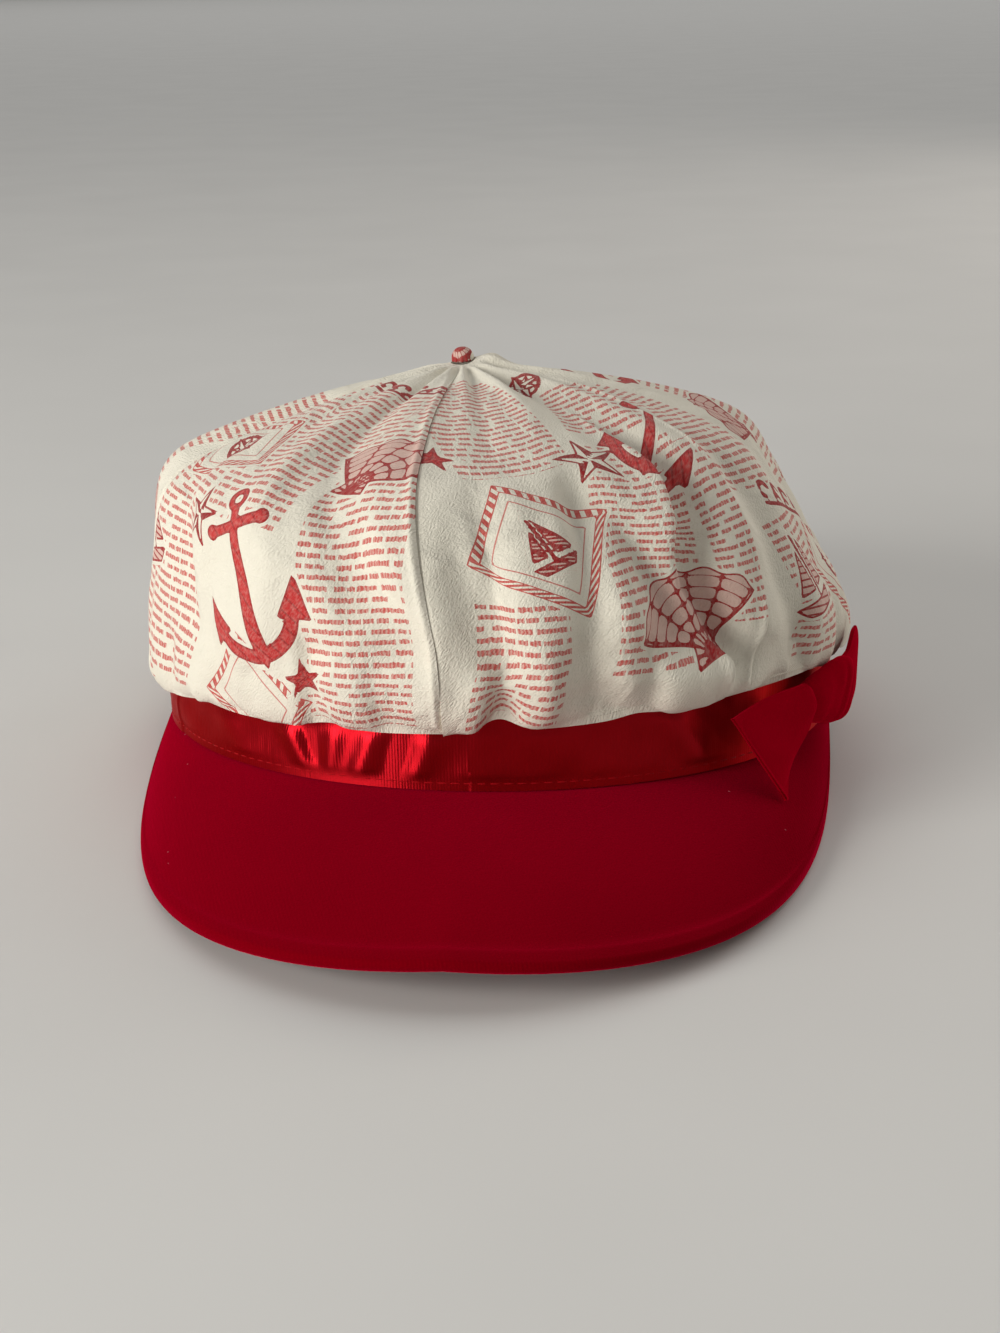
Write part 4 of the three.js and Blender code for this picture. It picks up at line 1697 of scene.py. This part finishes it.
        column = np.rint(across * (columns - 1)).astype(int)
        order = row * columns + column
        move_vertices(piece, points[order])
        u_flat = (u - u[:, -1:] / 2).ravel()[order]
        PANEL_PRINTS[panel].apply(piece, u_flat, np.repeat(down, columns)[order])
        face_away(piece, INSIDE_CROWN)
        piece.data.materials.append(cloth)
        piece.data.materials.append(reverse)
        thicken(piece, self.form.wall, inner_material=1)
        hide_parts(f"crown_panel_{panel + 1}")
        dress(piece, "printed_cotton", cloth, reverse)
        return piece

    def build(self, cloth: Material, reverse: Material) -> list[Piece]:
        """Makes the six panels.

        Args:
            cloth: the printed face.
            reverse: the plain inner face.

        Returns:
            The panels.
        """
        return [self.build_panel(panel, cloth, reverse) for panel in range(len(self.form.seams_at_hem))]


@dataclass
class CrownButton:
    """The covered button on the crown: a low dome of printed cloth with a turned edge."""

    radius: float = 2.8
    height: float = 3.8
    edge_height: float = 0.9
    flatness: float = 0.85
    tilt: float = -5.0
    tucks: int = 11
    tuck_depth: float = 0.035
    tuck_below: float = 0.2
    tuck_width: float = 0.5
    marks: tuple[Mark, ...] = (
        Mark(Motif.SPIRAL, -0.5, 0.6, 3.0, 60, Ink.LINES), Mark(Motif.STAR, 2.3, -2.2, 1.3, 20),
    )

    def build(self, cloth: Material) -> Piece:
        """Makes the button from a ball.

        Args:
            cloth: the printed cotton.

        Returns:
            The button.
        """
        piece, ball = unit_ball("crown_button_cover", 64, 34)
        angle = np.arctan2(ball[:, 1], ball[:, 0])
        reach = np.hypot(ball[:, 0], ball[:, 1]) ** self.flatness * self.radius
        at_edge = bump(ball[:, 2] + self.tuck_below, self.tuck_width)
        reach *= 1 + self.tuck_depth * np.sin(angle * self.tucks) * at_edge
        above = self.edge_height + (self.height - self.edge_height) * ball[:, 2]
        z = np.where(ball[:, 2] > 0, above, self.edge_height * (1 + ball[:, 2]))
        points = np.stack([reach * np.cos(angle), reach * np.sin(angle), z], axis=1)
        turned = np.array(Matrix.Rotation(math.radians(self.tilt), 3, "Y"))
        move_vertices(piece, points @ turned.T + [*CROWN_FORM.lean, CROWN_FORM.top_z])
        Print(columns=(), charts=(), marks=self.marks).apply(piece, points[:, 0], -points[:, 1])
        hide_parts("crown_button")
        dress(piece, "printed_cotton", cloth)
        return piece


@dataclass
class Headband:
    """The cream wall inside the ribbon, with rounded edges."""

    out: float = -1.7
    wall: float = 1.6
    columns: int = 288
    rows: int = 10
    edge_round: float = 0.5
    edge_angle: float = 60.0

    def build(self, cloth: Material) -> Piece:
        """Makes the headband as a closed ring.

        Args:
            cloth: the plain twill.

        Returns:
            The headband.
        """
        piece, around, up = flat_sheet("headband_band", self.columns, self.rows)
        direction = around * 360
        move_vertices(piece, BAND.point(direction, self.out, BAND.bottom(direction) + BAND.height * up))
        join_edges(piece)
        face_away(piece, INSIDE_BAND)
        thicken(piece, self.wall)
        apply_modifier(
            piece, "BEVEL", width=self.edge_round * MM, segments=2, limit_method="ANGLE",
            angle_limit=math.radians(self.edge_angle),
        )
        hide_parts("headband")
        dress(piece, "cream_cotton", cloth)
        return piece


@dataclass
class SatinRibbon:
    """The satin ribbon round the headband, crumpled at the front, with stitches along its lower edge."""

    out: float = -0.4
    wall: float = 0.8
    start: float = 2.6
    height: float = 23.0
    columns: int = 900
    rows: int = 30
    overlap_at: float = -60.0
    overlap_rise: float = 0.35
    stitch_up: float = 1.7
    stitch_length: float = 2.1
    stitch_pitch: float = 3.0
    stitch_thickness: float = 0.3
    overlap_fade: tuple[float, float] = (8.0, 14.0)
    overlap_edge: float = 0.3
    ripples: tuple[tuple[float, float, float], ...] = ((0.14, 0.31, 0.4), (0.07, 0.83, -0.5))
    ease: float = 0.16
    held_under_hem: tuple[float, float] = (-3.5, 0.5)
    held_above_stitches: float = 2.5
    crumple_fade: float = 3.5
    crumples: tuple[Fold, ...] = (
        Fold(-30, 15, -24, 1, 2.4, 1.3),
        Fold(-25.5, 15, -24, 5, 1.5, -0.9),
        Fold(-20, 15, -21, 2, 1.6, 0.8),
        Fold(-13, 16, -17, 1, 2.0, 1.2),
        Fold(-9, 15, -11, 4, 1.8, -0.8),
        Fold(-5, 14, -8, 2, 2.2, 0.9),
        Fold(3, 15, 2, 5, 3.0, 0.4),
        Fold(13, 14, 9, 3, 4.0, 0.5),
        Fold(30, 15, 37, 2, 3.0, 0.8),
        Fold(38, 15, 44, 3, 2.4, -0.5),
        Fold(-44, 14, -39, 3, 3.5, 0.6),
        Fold(90, 13, 98, 3, 5.0, 0.5),
        Fold(112, 13, 108, 3, 4.0, 0.5),
        Fold(140, 12, 132, 3, 5.0, 0.5),
        Fold(172, 12, 180, 3, 5.0, 0.5),
        Fold(200, 9, 208, 3, 5.0, 0.5),
        Fold(234, 9, 229, 3, 4.0, 0.5),
        Fold(262, 9, 255, 3, 5.0, 0.5),
        Fold(300, 11, 306, 3, 5.0, 0.5),
    )

    def crumple(self, direction: Array, up: Array) -> Array:
        """How far the satin stands off the band.

        Args:
            direction: degrees from the front.
            up: height above the ribbon's lower edge.

        Returns:
            One distance a point.
        """
        ripple = sum(height * np.sin(direction * turns + up * rise) for height, turns, rise in self.ripples)
        crumples = (fold.push(direction, up, self.crumple_fade) for fold in self.crumples)
        return np.maximum(sum(crumples, ripple + self.ease), 0)

    def face(self, direction: Array, up: Array) -> Array:
        """Points of the ribbon's outer face.

        Args:
            direction: degrees from the front.
            up: height above the ribbon's lower edge.

        Returns:
            The points.
        """
        bottom = BAND.bottom(direction) + self.start
        hem = CROWN_FORM.value(CROWN_FORM.hem_z, direction)
        clear = 1 - smooth_step(bottom + up, *(hem + offset for offset in self.held_under_hem))
        held = smooth_step(up, self.stitch_up, self.stitch_up + self.held_above_stitches)
        past_end = -turn(self.overlap_at, direction)
        lap = self.overlap_rise * smooth_step(past_end, 0, self.overlap_edge)
        lap = lap * (1 - smooth_step(past_end, *self.overlap_fade))
        return BAND.point(direction, self.out + lap + self.crumple(direction, up) * clear * held, bottom + up)

    def build(self, satin: Material, thread: Material) -> list[Piece]:
        """Makes the ribbon and its row of stitches.

        Args:
            satin: the ribbon's material.
            thread: the stitches' material.

        Returns:
            The ribbon and the stitches.
        """
        piece, around, up = flat_sheet("satin_ribbon", self.columns, self.rows)
        move_vertices(piece, self.face(around * 360, up * self.height))
        store(piece, "cloth", around * math.pi * (BAND.half_width + BAND.half_depth), up * self.height)
        join_edges(piece)
        face_away(piece, INSIDE_BAND)
        thicken(piece, self.wall)
        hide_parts("ribbon")
        dress(piece, "red_satin", satin)
        return [piece, self.build_stitches(thread)]

    def build_stitches(self, thread: Material) -> Piece:
        """Makes the stitches, one short strand copied round the ribbon.

        Args:
            thread: the stitches' material.

        Returns:
            The stitches as one piece.
        """
        piece, ball = unit_ball("ribbon_stitches", 8, 6)
        sizes = np.array([self.stitch_length, self.stitch_thickness, self.stitch_thickness])
        strand = ball[:, [2, 0, 1]] * sizes / 2
        faces = [tuple(face.vertices) for face in piece.data.polygons]
        count = round(math.pi * (BAND.half_width + BAND.half_depth) / self.stitch_pitch)
        points, copied_faces = [], []
        for i in range(count):
            direction = np.array([i, i + 0.1]) * 360 / count
            here, ahead = self.face(direction, np.full(2, self.stitch_up))
            along = (ahead - here) / np.linalg.norm(ahead - here)
            outwards = np.cross(along, [0, 0, 1])
            outwards /= np.linalg.norm(outwards)
            points.append(here + strand @ np.stack([along, outwards, np.cross(along, outwards)]))
            copied_faces.extend(tuple(corner + i * len(strand) for corner in face) for face in faces)
        piece.data.clear_geometry()
        piece.data.from_pydata(((np.concatenate(points) + MIDDLE) * MM).tolist(), [], copied_faces)
        face_outwards(piece)
        dress(piece, "red_satin", thread)
        return piece


@dataclass
class Peak:
    """The stiff peak: cloth over a board, with a rounded lip at its rim."""

    half_sweep: float = 88.15
    reach: float = 58.4
    roundness: float = 4.6
    end_power: float = 1.31
    end_share: float = 0.9985
    taper: float = -0.05
    rim_front: float = 9.7
    rim_side: float = -5.25
    rim_power: float = 1.23
    wall: float = 2.4
    bulge: float = 1.6
    start_out: float = -1.4
    below_ribbon: float = 0.3
    columns: int = 200
    rows: int = 44
    rim_rows: int = 12
    lip: float = 0.5
    lip_width: float = 2.8
    lip_starts: tuple[float, float] = (0.05, 0.5)

    def section(self, share: Array, turn_share: Array) -> Array:
        """Points of the peak's skin.

        Args:
            share: from 0 at one end of the peak to 1 at the other.
            turn_share: from 0 at the headband along the top, round the rim at a half, and back below to 1.

        Returns:
            The points.
        """
        place = self.end_share * np.sin((share - 0.5) * math.pi)
        direction = place * self.half_sweep
        reach = (1 - np.abs(place) ** self.roundness) ** (1 / self.end_power)
        rim_z = self.rim_side + (self.rim_front - self.rim_side) * (1 - np.abs(place) ** self.rim_power)
        middle_z = BAND.bottom(direction) + SatinRibbon.start - self.below_ribbon - self.wall / 2
        start = BAND.point(direction, self.start_out, middle_z)
        end = BAND.point(direction, 0, middle_z * (1 - reach) + rim_z * reach)
        ahead = (self.reach - self.wall / 2) * reach
        slant = np.radians(self.taper * direction)
        end[:, 0] += ahead * np.sin(slant)
        end[:, 1] -= ahead * np.cos(slant)
        rim_share = self.rim_rows / (2 * self.rows + self.rim_rows)
        flat_share = (1 - rim_share) / 2
        along = np.clip(np.where(turn_share < 0.5, turn_share, 1 - turn_share) / flat_share, 0, 1)
        angle = np.radians(90 - 180 * np.clip((turn_share - flat_share) / rim_share, 0, 1))
        half = self.wall / 2
        points = start + (end - start) * along[:, None]
        from_rim = np.linalg.norm(end - start, axis=1) * (1 - along)
        lip = self.lip * bump(from_rim - self.lip_width / 2, self.lip_width / 2)
        lip = lip * smooth_step(reach, *self.lip_starts)
        points[:, 1] -= half * np.cos(angle) * np.sqrt(reach)
        points[:, 2] += self.bulge * reach * 4 * along * (1 - along) + (half + lip) * np.sin(angle)
        return points

    def build(self, cloth: Material) -> Piece:
        """Makes the peak as one closed skin.

        Args:
            cloth: the peak's material.

        Returns:
            The peak.
        """
        piece, share, turn_share = flat_sheet("peak_board", self.columns, 2 * self.rows + self.rim_rows)
        move_vertices(piece, self.section(share, turn_share))
        with editing(piece):
            bpy.ops.mesh.remove_doubles(threshold=SKIN_JOIN_DISTANCE * MM)
            bpy.ops.mesh.select_all(action="DESELECT")
            bpy.ops.mesh.select_non_manifold()
            bpy.ops.mesh.edge_face_add()
        face_outwards(piece)
        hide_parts("peak")
        dress(piece, "crimson_cotton", cloth)
        return piece


@dataclass(frozen=True)
class Loop:
    """One loop of the bow. Sizes in threes are at the knot, half-way and at the far end.

    The skew slants the far end, the pinch closes the edges, and the roll rounds the far corners. The cup
    hollows the near end, the rise lifts the top of the far end, and the lean swings its foot outwards.
    """

    name: str
    side: int
    start: float
    length: float
    out: tuple[float, float, float]
    half_depth: tuple[float, float, float]
    top: tuple[float, float, float]
    bottom: tuple[float, float, float]
    skew: float = 0.0
    pinch: float = 0.0
    pleat: float = 0.0
    roll: float = 0.0
    cup: float = 0.0
    rise: float = 0.0
    lean: float = 0.0


def along_three(values: tuple[float, float, float], far: Array) -> Array:
    """A smooth line through three values.

    Args:
        values: at 0, a half and 1.
        far: where to read it.

    Returns:
        One value a place.
    """
    near, middle, end = values
    return near * (1 - far) * (1 - 2 * far) + 4 * middle * far * (1 - far) + end * far * (2 * far - 1)


@dataclass
class Bow:
    """The bow on the band's side: a flat front loop, a knot, and an open back loop."""

    direction: float = 57.0
    z: float = 22.5
    wall: float = 0.6
    steps: int = 110
    rows: int = 36
    loops: tuple[Loop, ...] = (
        Loop(
            "bow_front_loop", -1, start=3.4, length=21.2, out=(8.0, 5.2, 5.7), half_depth=(1.4, 1.1, 0.7),
            top=(9.4, 8.4, 6.8), bottom=(-3.6, -8.1, -12.5), skew=9, pinch=0.8, pleat=0.15, cup=4.8, lean=8.0,
        ),
        Loop(
            "bow_back_loop", 1, start=5.6, length=23.4, out=(4.6, 5.9, 6.3), half_depth=(1.0, 1.0, 1.8),
            top=(5.5, 6.8, 7.4), bottom=(-6, -8.6, -7.6), pinch=0.6, pleat=0.3, roll=5.0, rise=3.4,
        ),
    )
    rise_span: tuple[float, float] = (0.62, 0.9)
    pinch_power: int = 5
    fold_power: float = 0.8
    pleat_waves: tuple[float, float, float] = (4.6, 0.8, 1.1)
    pleat_at: float = 0.08
    pleat_width: float = 0.34
    back_pleat: float = 0.4
    corner_from: float = 0.55
    corner_width: float = 0.45
    roll_from: float = 0.3
    top_roll: float = 0.5
    knot_halves: tuple[float, float, float] = (10.7, 3.7, 6.8)
    knot_flare: tuple[float, float] = (0.1, 0.7)
    knot_waist: float = 0.95
    knot_hollow: float = 0.12
    knot_fan: float = 0.16
    knot_grooves: tuple[tuple[float, float, float], ...] = (
        (0.1, -0.1, 0.1), (0.12, 0.3, 0.08), (0.1, 0.62, 0.07),
    )
    knot_powers: tuple[float, float, float] = (0.6, 0.85, 0.62)
    knot_along: float = 6.2
    knot_out: float = 5.2
    knot_up: float = 0.9
    knot_tilt: float = 12.0
    knot_turn: float = -11.0

    def point(self, along: Array, out: Array | float, up: Array | float) -> Array:
        """Points on the band's side.

        Args:
            along: along the band from the knot's middle.
            out: out of the band.
            up: above the knot's middle.

        Returns:
            The points.
        """
        radius = (BAND.half_width + BAND.half_depth) / 2
        return BAND.point(self.direction + np.degrees(along / radius), out, self.z + up)

    def build_loop(self, loop: Loop, ribbon: Material) -> Piece:
        """Makes one loop as an open tube of ribbon.

        Args:
            loop: its sizes.
            ribbon: its material.

        Returns:
            The loop.
        """
        piece, around, row = flat_sheet(loop.name + "_ribbon", self.steps, self.rows)
        angle = around * 2 * math.pi
        far = (1 - np.cos(angle)) / 2
        top = along_three(loop.top, far) + loop.rise * smooth_step(far, *self.rise_span)
        bottom = along_three(loop.bottom, far)
        edge = 2 * row - 1
        up = bottom + (top - bottom) * row
        closing = 1 - loop.pinch * np.abs(edge) ** self.pinch_power
        layer = np.sign(np.sin(angle)) * np.abs(np.sin(angle)) ** self.fold_power
        out = along_three(loop.out, far) + along_three(loop.half_depth, far) * layer * closing
        waves, first, slant = self.pleat_waves
        pleats = np.sin(row * math.pi * waves + first + far * slant)
        pleats = pleats * bump(far - self.pleat_at, self.pleat_width)
        pleats = loop.pleat * pleats * np.where(layer > 0, 1, self.back_pleat)
        out = out + pleats + loop.lean * far * (1 - row)
        corner = np.clip((np.abs(edge) - self.corner_from) / self.corner_width, 0, 1)
        rounded = loop.roll * (1 - np.sqrt(1 - corner**2)) * smooth_step(far, self.roll_from, 1)
        rounded *= np.where(edge < 0, 1, self.top_roll)
        cupped = loop.cup * edge**2 * (1 - far)
        along = loop.start + loop.length * far + loop.skew * far * (row - 0.5) - rounded + cupped
        move_vertices(piece, self.point(loop.side * along, out, up))
        store(piece, "cloth", around * 2 * loop.length, up)
        join_edges(piece)
        half_way = np.array([loop.side * (loop.start + loop.length / 2)])
        face_away(piece, self.point(half_way, loop.out[1], 0.0)[0])
        thicken(piece, self.wall)
        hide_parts(loop.name)
        dress(piece, "crimson_ribbon", ribbon)
        return piece

    def build_knot(self, ribbon: Material) -> Piece:
        """Makes the knot: a broad pleated wrap of ribbon, hollow towards the front loop.

        Args:
            ribbon: its material.

        Returns:
            The knot.
        """
        piece, ball = unit_ball("bow_knot_wrap", 96, 64)
        along, out, up = (
            np.sign(part) * np.abs(part) ** power for part, power in zip(ball.T, self.knot_powers)
        )
        hollow = self.knot_hollow * (1 - up**2) * smooth_step(-along, 0, 1)
        fan = along - self.knot_fan * up
        grooves = sum(depth * bump(fan - place, width) for depth, place, width in self.knot_grooves)
        flared = up * (self.knot_waist + np.where(up < 0, *self.knot_flare) * along)
        shape = np.stack([along + hollow, out * (1 - grooves), flared], axis=1) * self.knot_halves
        store(piece, "cloth", shape[:, 2], shape[:, 0])
        middle_and_next = np.array([self.knot_along, self.knot_along + 1])
        here, ahead = self.point(middle_and_next, self.knot_out, self.knot_up)
        heading = math.atan2(ahead[1] - here[1], ahead[0] - here[0]) + math.radians(self.knot_turn)
        turned = Matrix.Rotation(heading, 3, "Z") @ Matrix.Rotation(math.radians(self.knot_tilt), 3, "Y")
        move_vertices(piece, shape @ np.array(turned).T + here)
        face_outwards(piece)
        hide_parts("bow_knot")
        dress(piece, "crimson_ribbon", ribbon)
        return piece

    def build(self, ribbon: Material) -> list[Piece]:
        """Makes both loops and the knot.

        Args:
            ribbon: their material.

        Returns:
            The loops and the knot.
        """
        return [*(self.build_loop(loop, ribbon) for loop in self.loops), self.build_knot(ribbon)]


@dataclass(frozen=True)
class Lamp:
    """A soft light: where it stands, what it looks at, its two sides, its power and its colour."""

    name: str
    place: tuple[float, float, float]
    aim: tuple[float, float, float]
    sides: tuple[float, float]
    watts: float
    colour: str


@dataclass
class Studio:
    """A pale floor, soft light from the left and the photograph's camera."""

    azimuth: float = 4.44
    elevation: float = 20.5
    roll: float = -1.0
    distance: float = 479.65
    target: tuple[float, float, float] = (-0.17, 0.0, 11.62)
    lens: float = 49.96
    sensor: float = 36.0
    clip: tuple[float, float] = (0.01, 100.0)
    floor_size: float = 80000.0
    air_colour: str = "DAD6D0"
    air_strength: float = 0.24
    lamps: tuple[Lamp, ...] = (
        Lamp("window_left", (-1260, -830, 560), (0, 0, 40), (680, 620), 17.0, "FFFCF6"),
        Lamp("wall_right", (1250, 800, 420), (0, 0, 60), (1500, 900), 8.0, "FFF4E8"),
        Lamp("window_low", (-760, -1040, 200), (0, 0, 20), (220, 560), 5.0, "FFFCF6"),
        Lamp("ceiling", (0, 12000, 10000), (0, 12000, 0), (24000, 26000), 1180.0, "FAFAFA"),
    )

    def build_camera(self) -> None:
        """Puts the camera where the photograph was taken from."""
        azimuth, elevation, roll = (math.radians(x) for x in (self.azimuth, self.elevation, self.roll))
        level = math.cos(elevation)
        back = Vector((math.sin(azimuth) * level, -math.cos(azimuth) * level, math.sin(elevation)))
        right = Vector((math.cos(azimuth), math.sin(azimuth), 0))
        up = back.cross(right)
        across = right * math.cos(roll) + up * math.sin(roll)
        upright = up * math.cos(roll) - right * math.sin(roll)
        data = bpy.data.cameras.new("photo_camera")
        data.lens, data.sensor_width = self.lens, self.sensor
        data.clip_start, data.clip_end = self.clip
        camera = bpy.data.objects.new("photo_camera", data)
        bpy.context.scene.collection.objects.link(camera)
        place = (Vector(self.target) + Vector(MIDDLE) + back * self.distance) * MM
        axes = Matrix((across, upright, back)).transposed().to_4x4()
        camera.matrix_world = Matrix.Translation(place) @ axes
        bpy.context.scene.camera = camera

    def build_lamp(self, lamp: Lamp) -> None:
        """Adds one light.

        Args:
            lamp: what it is.
        """
        data = bpy.data.lights.new(lamp.name, "AREA")
        data.shape, data.energy = "RECTANGLE", lamp.watts
        data.size, data.size_y = (side * MM for side in lamp.sides)
        data.color = linear_colour(lamp.colour)[:3]
        light = bpy.data.objects.new(lamp.name, data)
        bpy.context.scene.collection.objects.link(light)
        spot = Vector(lamp.place) * MM
        aim = Vector(lamp.aim) * MM - spot
        light.matrix_world = Matrix.Translation(spot) @ aim.to_track_quat("-Z", "Y").to_matrix().to_4x4()

    def build(self) -> None:
        """Makes the floor, lights and camera."""
        bpy.ops.object.select_all(action="DESELECT")
        bpy.ops.mesh.primitive_plane_add(size=self.floor_size * MM, location=(0, 0, 0))
        floor = bpy.context.object
        floor.name = "floor"
        floor.data.materials.append(FloorPaint().build())
        for lamp in self.lamps:
            self.build_lamp(lamp)
        world = bpy.data.worlds.new("studio_air")
        bpy.context.scene.world = world
        world.use_nodes = True
        background = next(node for node in world.node_tree.nodes if node.type == "BACKGROUND")
        background.inputs["Color"].default_value = linear_colour(self.air_colour)
        background.inputs["Strength"].default_value = self.air_strength
        bpy.context.scene.view_settings.view_transform = "Standard"
        self.build_camera()


def main() -> None:
    """Builds the studio and the cap in order, and reports each piece's faces."""
    logging.basicConfig(level=logging.INFO, format="%(message)s")
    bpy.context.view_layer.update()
    Studio().build()
    printed, cream = PrintedCotton().build(), PlainTwill().build()
    satin, thread = RedSatin().build(), RedThread().build()
    crimson, ribbon = CrimsonCotton().build(), CrimsonRibbon().build()
    pieces = (
        *Crown().build(printed, cream),
        CrownButton().build(printed),
        Headband().build(cream),
        *SatinRibbon().build(satin, thread),
        Peak().build(crimson),
        *Bow().build(ribbon),
    )
    for piece in pieces:
        log.info("%s: %d faces", piece.name, len(piece.data.polygons))


if __name__ == "__main__":
    main()
